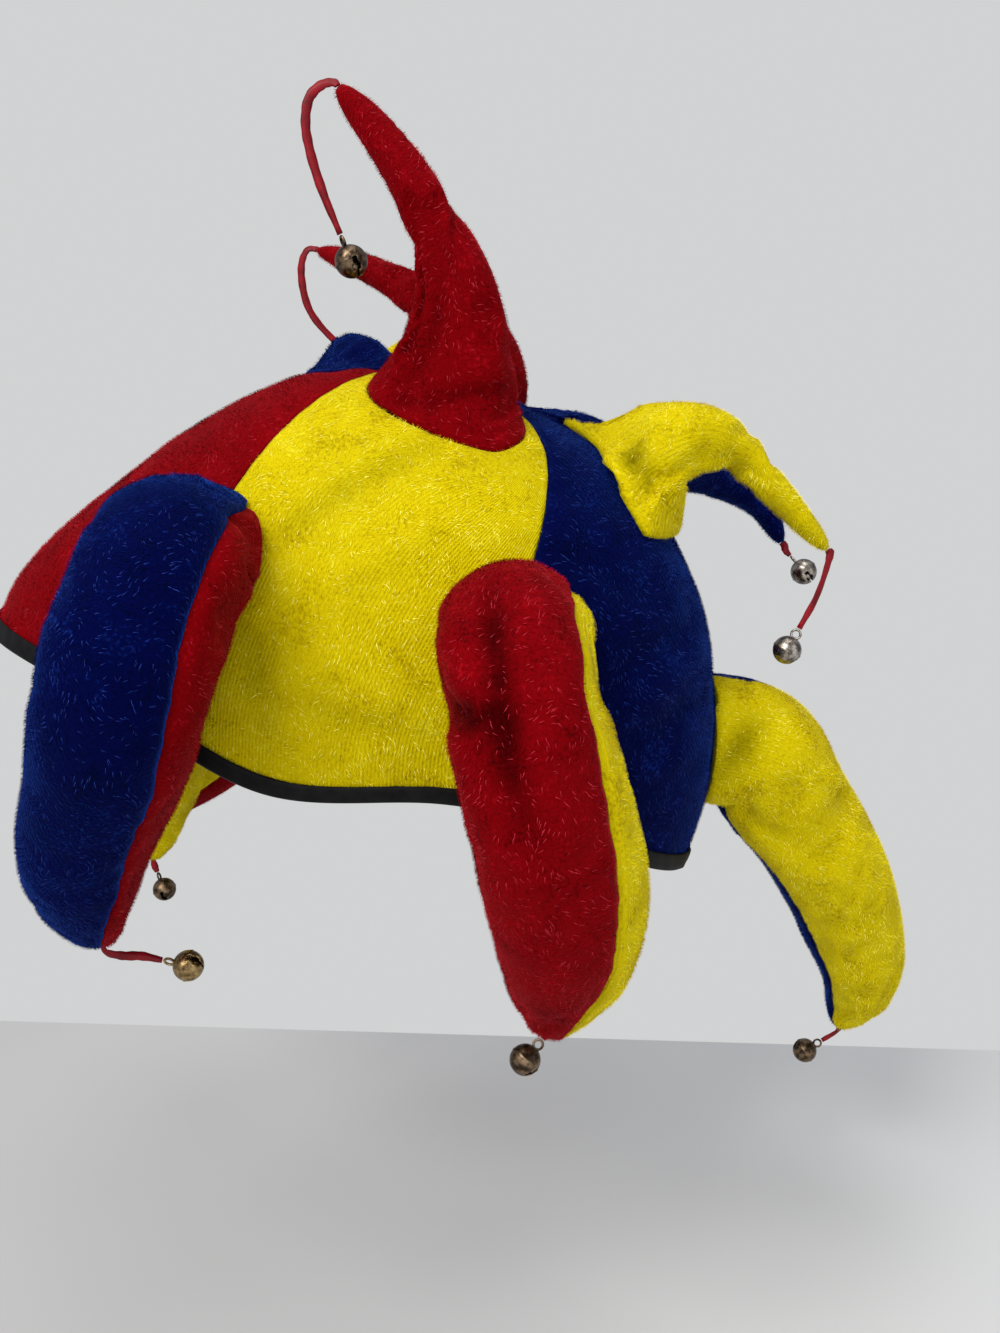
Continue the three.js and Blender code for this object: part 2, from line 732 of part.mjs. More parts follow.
// A hollow bell with a slit below and a loop above. Its loop's top is at the origin and it hangs down.
function bellGeometry() {
  const radius = BELL_DIAMETER / 2;
  const shell = new THREE.SphereGeometry(radius, BELL_SIDES, BELL_ROWS).rotateX(Math.PI / 2);
  const hollow = new THREE.SphereGeometry(radius - BELL_WALL, BELL_HOLLOW_SIDES, BELL_HOLLOW_ROWS)
    .rotateX(Math.PI / 2);
  const slit = new THREE.BoxGeometry(BELL_DIAMETER, BELL_SLIT, radius).translate(0, 0, -radius);
  const loopRadius = BELL_LOOP_DIAMETER / 2;
  const wireRadius = BELL_LOOP_WIRE / 2;
  const loopReach = loopRadius + wireRadius;
  const loop = new THREE.TorusGeometry(loopRadius, wireRadius, BELL_LOOP_SIDES, BELL_LOOP_STEPS)
    .rotateX(Math.PI / 2)
    .translate(0, 0, radius + loopReach - BELL_WALL);
  const body = toSolid(shell).subtract(toSolid(hollow)).subtract(toSolid(slit)).add(toSolid(loop));
  return toGeometry(body).translate(0, 0, -(radius + 2 * loopReach - BELL_WALL));
}

// A ribbon from a horn's tip along its route, with its bell at the end.
function ribbonAndBell(name, horn, route, crownGroup, bell) {
  const start = horn.tip.clone().addScaledVector(horn.direction, SEAM_GAP);
  const lead = start.clone().addScaledVector(horn.direction, RIBBON_LEAD);
  crownGroup.localToWorld(start);
  crownGroup.localToWorld(lead);
  const points = route.map(([x, y, z]) => lead.clone().add(new THREE.Vector3(x, y, z)));
  const curve = new THREE.CatmullRomCurve3([start, lead, ...points], false, "centripetal");
  const shape = new THREE.Shape();
  for (let side = 0; side < RIBBON_SIDES; side += 1) {
    const angle = (2 * Math.PI * (side + 0.5)) / RIBBON_SIDES;
    const x = (Math.cos(angle) * RIBBON_WIDTH) / 2 / Math.cos(Math.PI / RIBBON_SIDES);
    const y = (Math.sin(angle) * RIBBON_THICKNESS) / 2 / Math.cos(Math.PI / RIBBON_SIDES);
    if (side === 0) {
      shape.moveTo(x, y);
    } else {
      shape.lineTo(x, y);
    }
  }
  const steps = Math.max(3, Math.round(curve.getLength() / RIBBON_STEP));
  const tube = new THREE.ExtrudeGeometry(shape, { steps, bevelEnabled: false, extrudePath: curve });
  const end = curve.getPointAt(1);
  const down = curve.getTangentAt(1);
  const hung = named(`bell_${name}`, bell.clone(), BRASS);
  hung.position.copy(end).addScaledVector(down, SEAM_GAP);
  hung.quaternion.setFromUnitVectors(new THREE.Vector3(0, 0, -1), down);
  return [named(`ribbon_${name}`, tube, SATIN_RED), hung];
}

const hat = new THREE.Group();
const crown = new THREE.Group();
crown.rotation.y = THREE.MathUtils.degToRad(CROWN_LEAN);
const headSeat = crownPoint(0, 1, -GORE_WALL);
crown.position.copy(headSeat.clone().applyEuler(crown.rotation).negate());
crown.updateMatrixWorld(true);
hat.add(crown);

const envelope = crownEnvelope();
const bell = bellGeometry();
crown.add(bindingMesh());
GORES.forEach((gore, index) => {
  crown.add(goreMesh(index));
  const horn = upperHorn(index);
  crown.add(...horn.meshes);
  hat.add(...ribbonAndBell(`upper_${gore.name}`, horn, UPPER_RIBBONS[index], crown, bell));
});
LOWER_HORNS.forEach((row, index) => {
  const horn = lowerHorn(index, envelope);
  crown.add(...horn.meshes);
  hat.add(...ribbonAndBell(`lower_${row.name}`, horn, LOWER_RIBBONS[index], crown, bell));
});

export default hat;
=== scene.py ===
"""Dresses a twelve-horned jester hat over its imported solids: velour, satin, bells, camera and light."""

import logging
import math
from dataclasses import dataclass
from enum import Enum
from typing import ClassVar

import bmesh
import bpy
import numpy as np
from mathutils import Matrix, Vector, noise
from mathutils.bvhtree import BVHTree


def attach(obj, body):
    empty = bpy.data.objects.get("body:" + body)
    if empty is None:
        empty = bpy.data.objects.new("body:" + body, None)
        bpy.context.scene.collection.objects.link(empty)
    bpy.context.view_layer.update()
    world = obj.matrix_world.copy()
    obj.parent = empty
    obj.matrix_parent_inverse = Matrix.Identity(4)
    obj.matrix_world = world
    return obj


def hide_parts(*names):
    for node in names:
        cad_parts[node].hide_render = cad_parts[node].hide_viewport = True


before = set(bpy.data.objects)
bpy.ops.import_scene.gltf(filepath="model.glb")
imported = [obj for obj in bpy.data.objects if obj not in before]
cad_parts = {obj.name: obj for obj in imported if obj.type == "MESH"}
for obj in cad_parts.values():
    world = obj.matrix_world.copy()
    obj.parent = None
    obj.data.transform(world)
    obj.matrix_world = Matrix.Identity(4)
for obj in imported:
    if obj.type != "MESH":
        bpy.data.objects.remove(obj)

LOG = logging.getLogger("jester_hat")
MM = 0.001
SEED = 11
WORN = 0.25  # the share of the pile that is left against a neighbour
DEEP = 4 * MM  # a crease of this depth gets the full painted shade
Row = tuple[float, ...]
Table = tuple[Row, ...]
Socket = bpy.types.NodeSocket


class Cloth(Enum):
    """The three velours the hat is cut from."""

    RED = "red"
    YELLOW = "yellow"
    BLUE = "blue"


class Metal(Enum):
    """How each bell's plating has aged."""

    BRONZE = "bronze"
    BRASS = "brass"
    NICKEL = "nickel"


# Helpers


def column(table: list[Row], index: int) -> np.ndarray:
    """Takes one column out of a table.

    Args:
        table: Rows of numbers.
        index: The column to take.

    Returns:
        The column as an array.
    """
    return np.array([row[index] for row in table], float)


def read_table(table: Table, at: np.ndarray, index: int = 1) -> np.ndarray:
    """Reads a table at some keys, along a smooth curve through its rows.

    Args:
        table: The rows, each beginning with its key, rising.
        at: Where to read.
        index: The column to read.

    Returns:
        The values there.
    """
    keys, values = column(table, 0), column(table, index)
    at = np.asarray(at, float)
    last = len(keys) - 1
    low = np.clip(np.searchsorted(keys, at, side="left") - 1, 0, last - 1)
    before = np.maximum(low - 1, 0)
    after = np.minimum(low + 2, last)
    span = keys[low + 1] - keys[low]
    t = np.clip((at - keys[low]) / span, 0, 1)
    first = (values[low + 1] - values[before]) / (keys[low + 1] - keys[before]) * span
    second = (values[after] - values[low]) / (keys[after] - keys[low]) * span
    return (
        (2 * t**3 - 3 * t**2 + 1) * values[low]
        + (t**3 - 2 * t**2 + t) * first
        + (3 * t**2 - 2 * t**3) * values[low + 1]
        + (t**3 - t**2) * second
    )


def unit(vectors: np.ndarray) -> np.ndarray:
    """Scales vectors to length one.

    Args:
        vectors: The vectors, one a row.

    Returns:
        The unit vectors.
    """
    return vectors / np.maximum(np.linalg.norm(vectors, axis=-1, keepdims=True), 1e-12)


def value_noise(points: np.ndarray, size: float, seed: float = 0.0) -> np.ndarray:
    """Smooth noise from -1 to 1 at some points.

    Args:
        points: The points in metres.
        size: The size of one bump in metres.
        seed: Moves the pattern.

    Returns:
        The noise at each point.
    """
    shift = Vector((seed * 7.3, seed * 3.1, seed * 5.7))
    return np.array([noise.noise(Vector(p) / size + shift) for p in points])


def catmull(points: np.ndarray, steps: int) -> np.ndarray:
    """A centripetal curve through points.

    Args:
        points: The points it passes through.
        steps: How many steps each stretch is cut into.

    Returns:
        Points along the curve.
    """
    p = np.vstack([2 * points[0] - points[1], points, 2 * points[-1] - points[-2]])
    out = []
    for i in range(1, len(p) - 2):
        knots = [0.0]
        for j in range(i - 1, i + 2):
            knots.append(knots[-1] + max(np.linalg.norm(p[j + 1] - p[j]), 1e-9) ** 0.5)
        t0, t1, t2, t3 = knots
        ends = steps + 1 if i == len(p) - 3 else steps
        for k in range(ends):
            t = t1 + (t2 - t1) * k / steps
            a1 = (t1 - t) / (t1 - t0) * p[i - 1] + (t - t0) / (t1 - t0) * p[i]
            a2 = (t2 - t) / (t2 - t1) * p[i] + (t - t1) / (t2 - t1) * p[i + 1]
            a3 = (t3 - t) / (t3 - t2) * p[i + 1] + (t - t2) / (t3 - t2) * p[i + 2]
            b1 = (t2 - t) / (t2 - t0) * a1 + (t - t0) / (t2 - t0) * a2
            b2 = (t3 - t) / (t3 - t1) * a2 + (t - t1) / (t3 - t1) * a3
            out.append((t2 - t) / (t2 - t1) * b1 + (t - t1) / (t2 - t1) * b2)
    return np.array(out)


def new_object(name: str, mesh: bpy.types.Mesh, material: bpy.types.Material) -> bpy.types.Object:
    """Puts a mesh in the scene as a smooth piece.

    Args:
        name: The piece's name.
        mesh: Its mesh.
        material: Its material.

    Returns:
        The new object.
    """
    obj = bpy.data.objects.new(name, mesh)
    bpy.context.scene.collection.objects.link(obj)
    mesh.materials.clear()
    mesh.materials.append(material)
    mesh.shade_smooth()
    return obj


def settle(obj: bpy.types.Object) -> bpy.types.Object:
    """Applies an object's modifiers to its mesh.

    Args:
        obj: The object.

    Returns:
        The same object, with a plain mesh.
    """
    bpy.context.view_layer.update()
    graph = bpy.context.evaluated_depsgraph_get()
    mesh = bpy.data.meshes.new_from_object(obj.evaluated_get(graph))
    obj.modifiers.clear()
    old = obj.data
    obj.data = mesh
    if old.users == 0:
        bpy.data.meshes.remove(old)
    return obj


def coords(mesh: bpy.types.Mesh) -> tuple[np.ndarray, np.ndarray]:
    """A mesh's points and their outward directions.

    Args:
        mesh: The mesh.

    Returns:
        The points and the directions.
    """
    count = len(mesh.vertices)
    co = np.zeros(count * 3, np.float32)
    no = np.zeros(count * 3, np.float32)
    mesh.vertices.foreach_get("co", co)
    mesh.vertices.foreach_get("normal", no)
    return co.reshape(-1, 3).astype(float), no.reshape(-1, 3).astype(float)


def set_coords(mesh: bpy.types.Mesh, co: np.ndarray) -> None:
    """Moves a mesh's points.

    Args:
        mesh: The mesh.
        co: Where its points go.
    """
    mesh.vertices.foreach_set("co", co.astype(np.float32).ravel())
    mesh.update()


def set_attribute(mesh: bpy.types.Mesh, name: str, values: np.ndarray) -> None:
    """Stores a number for each of a mesh's points.

    Args:
        mesh: The mesh.
        name: The attribute's name.
        values: One number a point.
    """
    found = mesh.attributes.get(name) or mesh.attributes.new(name, "FLOAT", "POINT")
    found.data.foreach_set("value", np.asarray(values, np.float32))


def set_course(mesh: bpy.types.Mesh, across: np.ndarray, along: np.ndarray) -> None:
    """Stores how far across and along its knit each of a mesh's points is.

    Args:
        mesh: The mesh.
        across: Metres across the cloth.
        along: Metres along it.
    """
    found = mesh.attributes.new("course", "FLOAT_VECTOR", "POINT")
    rows = np.zeros((len(mesh.vertices), 3), np.float32)
    rows[: across.size, 0] = across.ravel()
    rows[: along.size, 1] = along.ravel()
    found.data.foreach_set("vector", rows.ravel())


def gap_to(trees: list[BVHTree], points: np.ndarray, reach: float) -> np.ndarray:
    """How far each point is from the nearest of some meshes.

    Args:
        trees: The meshes' search trees.
        points: The points.
        reach: The furthest distance that is looked for.

    Returns:
        The distances, none more than reach.
    """
    out = np.full(len(points), reach)
    for tree in trees:
        for i, p in enumerate(points):
            hit = tree.find_nearest(Vector(p), out[i])
            if hit[0] is not None:
                out[i] = min(out[i], hit[3])
    return out


def outward_mesh(name: str, points: list[Row], faces: list[tuple[int, ...]]) -> bpy.types.Mesh:
    """Makes a closed mesh with its faces turned outwards.

    Args:
        name: The mesh's name.
        points: Its points.
        faces: Its faces.

    Returns:
        The mesh.
    """
    mesh = bpy.data.meshes.new(name)
    mesh.from_pydata(points, [], faces)
    work = bmesh.new()
    work.from_mesh(mesh)
    bmesh.ops.recalc_face_normals(work, faces=work.faces)
    work.to_mesh(mesh)
    work.free()
    return mesh


class Graph:
    """Builds a node tree one node at a time.

    Args:
        tree: The node tree.
    """

    def __init__(self, tree: bpy.types.NodeTree) -> None:
        """Takes a node tree.

        Args:
            tree: The node tree.
        """
        self.tree = tree

    def feed(self, node: bpy.types.Node, inputs: dict[str | int, object]) -> None:
        """Gives a node's inputs their values.

        Args:
            node: The node.
            inputs: For each input a value, or a socket that is joined to it.
        """
        for key, value in inputs.items():
            if isinstance(value, Socket):
                self.tree.links.new(value, node.inputs[key])
            else:
                node.inputs[key].default_value = value

    def add(self, kind: str, inputs: dict[str | int, object], **settings: object) -> bpy.types.Node:
        """Adds a node.

        Args:
            kind: Its type.
            inputs: Its inputs, as for feed.
            settings: Its properties.

        Returns:
            The node.
        """
        node = self.tree.nodes.new(kind)
        for name, value in settings.items():
            setattr(node, name, value)
        self.feed(node, inputs)
        return node

    def math(self, operation: str, *values: object) -> Socket:
        """Adds a calculation.

        Args:
            operation: What it does.
            values: Its inputs in order.

        Returns:
            The result's socket.
        """
        return self.add("ShaderNodeMath", dict(enumerate(values)), operation=operation).outputs[0]

    def mix(self, factor: object, first: object, second: object) -> Socket:
        """Mixes two colours.

        Args:
            factor: The second one's share.
            first: A colour or a socket.
            second: Another one.

        Returns:
            The colour's socket.
        """
        return self.add("ShaderNodeMix", {0: factor, 6: first, 7: second}, data_type="RGBA").outputs[2]

    def attribute(self, name: str) -> Socket:
        """Reads a number that is stored on a mesh.

        Args:
            name: The attribute's name.

        Returns:
            The number's socket.
        """
        return self.add("ShaderNodeAttribute", {}, attribute_name=name).outputs["Fac"]

    def noise(self, where: object, scale: float, detail: float, distortion: float = 0.0) -> Socket:
        """Adds a noise texture.

        Args:
            where: The socket it reads its place from.
            scale: Bumps a metre.
            detail: Octaves.
            distortion: How far the pattern is drawn out of shape.

        Returns:
            The noise's socket.
        """
        inputs = {"Vector": where, "Scale": scale, "Detail": detail, "Distortion": distortion}
        return self.add("ShaderNodeTexNoise", inputs).outputs["Fac"]

    def ramp(self, factor: Socket, stops: list[tuple[float, Row]]) -> Socket:
        """Adds a colour ramp.

        Args:
            factor: The socket that drives it.
            stops: Places and colours.

        Returns:
            The colour's socket.
        """
        node = self.add("ShaderNodeValToRGB", {"Fac": factor})
        elements = node.color_ramp.elements
        while len(elements) < len(stops):
            elements.new(0.5)
        for element, (place, colour) in zip(elements, stops):
            element.position = place
            element.color = (*colour, 1)
        return node.outputs["Color"]

    def bump(self, height: object, strength: float, distance: float, under: object = None) -> Socket:
        """Adds a relief.

        Args:
            height: The socket it reads its height from.
            strength: How strong it is.
            distance: How high it is, in metres.
            under: The socket of a relief that it lies on.

        Returns:
            The normal's socket.
        """
        inputs = {"Strength": strength, "Distance": distance, "Height": height}
        if under is not None:
            inputs["Normal"] = under
        return self.add("ShaderNodeBump", inputs).outputs["Normal"]

    def chance(self, seed: Socket, low: float, high: float) -> Socket:
        """Draws a number for each point.

        Args:
            seed: The seed's socket.
            low: The lowest number.
            high: The highest number.

        Returns:
            The number's socket.
        """
        inputs = {"Min": low, "Max": high, "Seed": seed}
        return self.add("FunctionNodeRandomValue", inputs, data_type="FLOAT").outputs["Value"]


# Finishes


@dataclass(frozen=True)
class Finish:
    """A material made from nodes.

    Args:
        name: The material's name.
    """

    name: str

    def start(self) -> tuple[bpy.types.Material, Graph, bpy.types.Node, Socket]:
        """Begins a node material.

        Returns:
            The material, its graph, its shader and the socket of the place on the object.
        """
        material = bpy.data.materials.new(self.name)
        material.use_nodes = True
        graph = Graph(material.node_tree)
        where = graph.add("ShaderNodeTexCoord", {}).outputs["Object"]
        return material, graph, material.node_tree.nodes["Principled BSDF"], where


@dataclass(frozen=True)
class Velour(Finish):
    """Short crushed pile: patches that lie different ways, a sheen at grazing angles and fine nap.

    Args:
        shade: The colour where the pile faces the eye.
        body: The main colour.
        bright: The colour where the pile is laid flat.
        glow: The sheen's tint.
        sheen: The sheen's strength.
        fleck: The colour of the few strands that catch the light.
        ribs: How strongly the knit's rows show.
        rows: Which way the rows run, X along the cloth and Y across it.
        patches: Crushed patches a metre.
        nap: Bumps of the nap a metre.
        knit: Scale of the knit's rows.
        root: How bright a strand is at its root and the bare cloth under the pile: painted shade between the
            strands.
        rise: How much brighter it is at its tip.
        depth: How much the painted shade in a crease darkens the cloth.
        rarity: The share of strands that are no flecks.
    """

    shade: Row = (0.2, 0.0, 0.0)
    body: Row = (0.4, 0.0, 0.0)
    bright: Row = (0.6, 0.1, 0.1)
    glow: Row = (1.0, 0.4, 0.4)
    sheen: float = 0.5
    fleck: Row = (0.8, 0.4, 0.4)
    ribs: float = 0.3
    rows: str = "X"
    patches: float = 75.0
    nap: float = 900.0
    knit: float = 270.0
    root: float = 0.72
    rise: float = 0.6
    depth: float = 0.75
    rarity: float = 0.96

    def build(self) -> bpy.types.Material:
        """Makes the material.

        Returns:
            The material.
        """
        material, graph, shader, where = self.start()
        crushed = graph.noise(where, self.patches, 3.0, 0.6)
        fine = graph.noise(where, self.nap, 2.0)
        mottle = graph.math("MULTIPLY_ADD", fine, 0.55, graph.math("MULTIPLY", crushed, 0.5))
        stops = [(0.36, self.shade), (0.5, self.body), (0.6, self.body), (0.74, self.bright)]
        # painted shade between the strands: dark at their roots and on the cloth beneath, brighter towards
        # their tips
        up = graph.math("MULTIPLY_ADD", graph.attribute("tip"), self.rise, self.root)
        # painted shade: the cloth is darkened in its creases by the stored crease depth
        unshaded = graph.math("MULTIPLY_ADD", graph.attribute("hollow"), -self.depth, 1.0)
        shaded = {0: graph.ramp(mottle, stops), "Scale": graph.math("MULTIPLY", up, unshaded)}
        colour = graph.add("ShaderNodeVectorMath", shaded, operation="SCALE").outputs["Vector"]
        rare = graph.math("GREATER_THAN", graph.attribute("fleck"), self.rarity)
        course = graph.add("ShaderNodeAttribute", {}, attribute_name="course").outputs["Vector"]
        wave = {
            "Vector": course, "Scale": self.knit, "Distortion": 1.2, "Detail": 2.0, "Detail Scale": 0.6,
        }
        rows = graph.add("ShaderNodeTexWave", wave, wave_type="BANDS", bands_direction=self.rows)
        knit = graph.bump(rows.outputs["Fac"], self.ribs, 0.5 * MM)
        glow = (*self.glow, 1)
        graph.feed(shader, {
            "Base Color": graph.mix(rare, colour, (*self.fleck, 1)), "Roughness": 0.85,
            "Specular IOR Level": 0.12, "Specular Tint": glow,
            "Sheen Weight": self.sheen, "Sheen Roughness": 0.35, "Sheen Tint": glow,
            "Normal": graph.bump(fine, 0.55, 0.6 * MM, knit),
        })
        return material


@dataclass(frozen=True)
class Satin(Finish):
    """Woven satin: a smooth sheen with fine threads and soft creases.

    Args:
        body: The main colour.
        light: The colour on the raised threads.
        roughness: How matt it is.
        gloss: How much of the light it mirrors.
        crumple: Bumps of the creases a metre.
        drift: Bumps of the colour's drift a metre.
        threads: Scale of the weave.
    """

    body: Row = (0.01, 0.01, 0.01)
    light: Row = (0.03, 0.03, 0.03)
    roughness: float = 0.45
    gloss: float = 0.2
    crumple: float = 1400.0
    drift: float = 220.0
    threads: float = 900.0

    def build(self) -> bpy.types.Material:
        """Makes the material.

        Returns:
            The material.
        """
        material, graph, shader, where = self.start()
        soft = graph.noise(where, self.drift, 3.0)
        weave = {"Vector": where, "Scale": self.threads, "Distortion": 1.5}
        threads = graph.bump(graph.add("ShaderNodeTexWave", weave).outputs["Fac"], 0.15, 0.1 * MM)
        graph.feed(shader, {
            "Base Color": graph.ramp(soft, [(0.35, self.body), (0.7, self.light)]),
            "Roughness": self.roughness, "Specular IOR Level": self.gloss,
            "Normal": graph.bump(graph.noise(where, self.crumple, 2.0), 0.2, 0.2 * MM, threads),
        })
        return material


@dataclass(frozen=True)
class AgedMetal(Finish):
    """Plated metal worn to its base, dull in the hollows.

    Args:
        bright: The colour where it is rubbed.
        dull: The colour where it is tarnished.
        roughness: How matt the rubbed metal is.
        tarnish: How much more matt the tarnished metal is.
        stains: Stains a metre.
        specks: Specks a metre.
    """

    bright: Row = (0.6, 0.5, 0.3)
    dull: Row = (0.15, 0.1, 0.06)
    roughness: float = 0.25
    tarnish: float = 0.25
    stains: float = 420.0
    specks: float = 2200.0

    def build(self) -> bpy.types.Material:
        """Makes the material.

        Returns:
            The material.
        """
        material, graph, shader, where = self.start()
        stain = graph.noise(where, self.stains, 4.0)
        speck = graph.noise(where, self.specks, 2.0)
        matt = [(0.3, (self.roughness,) * 3), (0.75, (self.roughness + self.tarnish,) * 3)]
        graph.feed(shader, {
            "Base Color": graph.ramp(stain, [(0.4, self.dull), (0.62, self.bright)]),
            "Metallic": 1.0, "Roughness": graph.ramp(speck, matt),
            "Normal": graph.bump(speck, 0.18, 0.2 * MM),
        })
        return material


@dataclass(frozen=True)
class Paper(Finish):
    """Matt white paper, in shade at its left.

    Args:
        dim: The colour at its left.
        lit: The colour at its right.
        reach: How far from the middle both are, in metres.
    """

    dim: Row = (0.42, 0.417, 0.414)
    lit: Row = (0.70, 0.705, 0.705)
    reach: float = 0.5

    def build(self) -> bpy.types.Material:
        """Makes the material.

        Returns:
            The material.
        """
        material, graph, shader, where = self.start()
        across = graph.add("ShaderNodeSeparateXYZ", {"Vector": where}).outputs["X"]
        span = {"Value": across, "From Min": -self.reach, "From Max": self.reach}
        share = graph.add("ShaderNodeMapRange", span).outputs["Result"]
        colour = graph.ramp(share, [(0.0, self.dim), (1.0, self.lit)])
        graph.feed(shader, {"Base Color": colour, "Roughness": 0.75, "Specular IOR Level": 0.25})
        return material


VELOURS = {
    Cloth.RED: Velour(
        "red_velour", (0.11, 0.0004, 0.0015), (0.23, 0.0008, 0.003), (0.42, 0.004, 0.01),
        (1.0, 0.05, 0.07), 0.35, (0.5, 0.03, 0.05), 0.15, "Y",
    ),
    Cloth.YELLOW: Velour(
        "yellow_velour", (0.52, 0.38, 0.0012), (0.78, 0.63, 0.002), (0.93, 0.83, 0.03),
        (1.0, 0.9, 0.15), 0.15, (1.0, 0.93, 0.16), 0.4,
    ),
    Cloth.BLUE: Velour(
        "blue_velour", (0.0006, 0.0009, 0.02), (0.001, 0.0016, 0.045), (0.004, 0.02, 0.18),
        (0.02, 0.16, 1.0), 0.45, (0.02, 0.045, 0.26), 0.12, "DIAGONAL",
    ),
}
METALS = {
    Metal.BRONZE: AgedMetal("bell_bronze", (0.22, 0.15, 0.09), (0.04, 0.027, 0.018), 0.26),
    Metal.BRASS: AgedMetal("bell_brass", (0.45, 0.32, 0.14), (0.13, 0.08, 0.035), 0.24),
    Metal.NICKEL: AgedMetal("bell_nickel", (0.42, 0.38, 0.33), (0.12, 0.1, 0.085), 0.2),
}
SATIN_RED = Satin("red_satin", (0.12, 0.0006, 0.004), (0.26, 0.002, 0.008), 0.45, 0.2)
SATIN_BLACK = Satin("black_satin", (0.002, 0.002, 0.0022), (0.006, 0.006, 0.007), 0.5, 0.12)


# Camera, light and floor


@dataclass(frozen=True)
class Studio:
    """The camera, the lights and the plain pale surroundings.

    Args:
        camera_at: Where the camera stands, in metres.
        pitch: How far the camera looks down from level, in degrees.
        lens: Focal length for a 36 mm wide long side.
        floor: The height of the floor.
        front: How far forward the floor reaches.
        back: How far back it ends.
        floor_width: How wide it is.
        slant: How much nearer its ends come for each metre to the right.
        surround: The colour of the light from all round.
        backdrop: The colour in which the surround is seen.
    """

    camera_at: tuple[float, float, float] = (0.011, -0.4402, -0.0034)
    pitch: float = 12.0
    lens: float = 33.76
    floor: float = -0.35
    front: float = -2.0
    back: float = 0.2
    floor_width: float = 5.2
    slant: float = 0.06
    surround: Row = (0.4, 0.41, 0.44, 1)
    backdrop: Row = (0.64, 0.645, 0.65, 1)

    def place_camera(self) -> None:
        """Makes the scene's camera."""
        data = bpy.data.cameras.new("camera")
        data.lens = self.lens
        data.sensor_fit = "AUTO"
        data.sensor_width = 36.0
        data.clip_start = 0.01
        camera = bpy.data.objects.new("camera", data)
        camera.location = self.camera_at
        camera.rotation_euler = (math.radians(90 - self.pitch), 0, 0)
        bpy.context.scene.collection.objects.link(camera)
        bpy.context.scene.camera = camera

    def build_floor(self) -> None:
        """Makes the floor, which ends in front of the pale surround."""
        mesh = bpy.data.meshes.new("floor")
        wide = self.floor_width / 2
        ends = ((self.front, -wide), (self.front, wide), (self.back, wide), (self.back, -wide))
        mesh.from_pydata([(x, y - self.slant * x, self.floor) for y, x in ends], [], [(0, 1, 2, 3)])
        floor = bpy.data.objects.new("floor", mesh)
        bpy.context.scene.collection.objects.link(floor)
        mesh.materials.append(Paper("pale_paper").build())
        mesh.shade_smooth()

    def light(self) -> None:
        """Places the soft lights and the even surround."""
        rows = [
            ("key", (-0.9, -1.3, 1.35), 1.1, 40.0, (1.0, 0.985, 0.96)),
            ("fill", (1.5, -1.0, 0.5), 1.4, 6.0, (0.95, 0.97, 1.0)),
            ("top", (0.1, -0.1, 1.6), 1.0, 9.0, (1.0, 1.0, 1.0)),
            ("front", (0.0, -1.8, 0.0), 1.2, 8.0, (1.0, 1.0, 1.0)),
        ]
        for name, at, size, power, colour in rows:
            data = bpy.data.lights.new(name, "AREA")
            data.size = size
            data.energy = power
            data.color = colour
            lamp = bpy.data.objects.new(name, data)
            lamp.location = at
            aim = Vector((0.0, 0.0, -0.1)) - Vector(at)
            lamp.rotation_euler = aim.to_track_quat("-Z", "Y").to_euler()
            bpy.context.scene.collection.objects.link(lamp)
        world = bpy.data.worlds.new("surround")
        world.use_nodes = True
        graph = Graph(world.node_tree)
        seen = graph.add("ShaderNodeLightPath", {}).outputs["Is Camera Ray"]
        tone = graph.mix(seen, self.surround, self.backdrop)
        graph.feed(world.node_tree.nodes["Background"], {"Color": tone})
        bpy.context.scene.world = world
        bpy.context.scene.view_settings.view_transform = "Standard"


# Pile


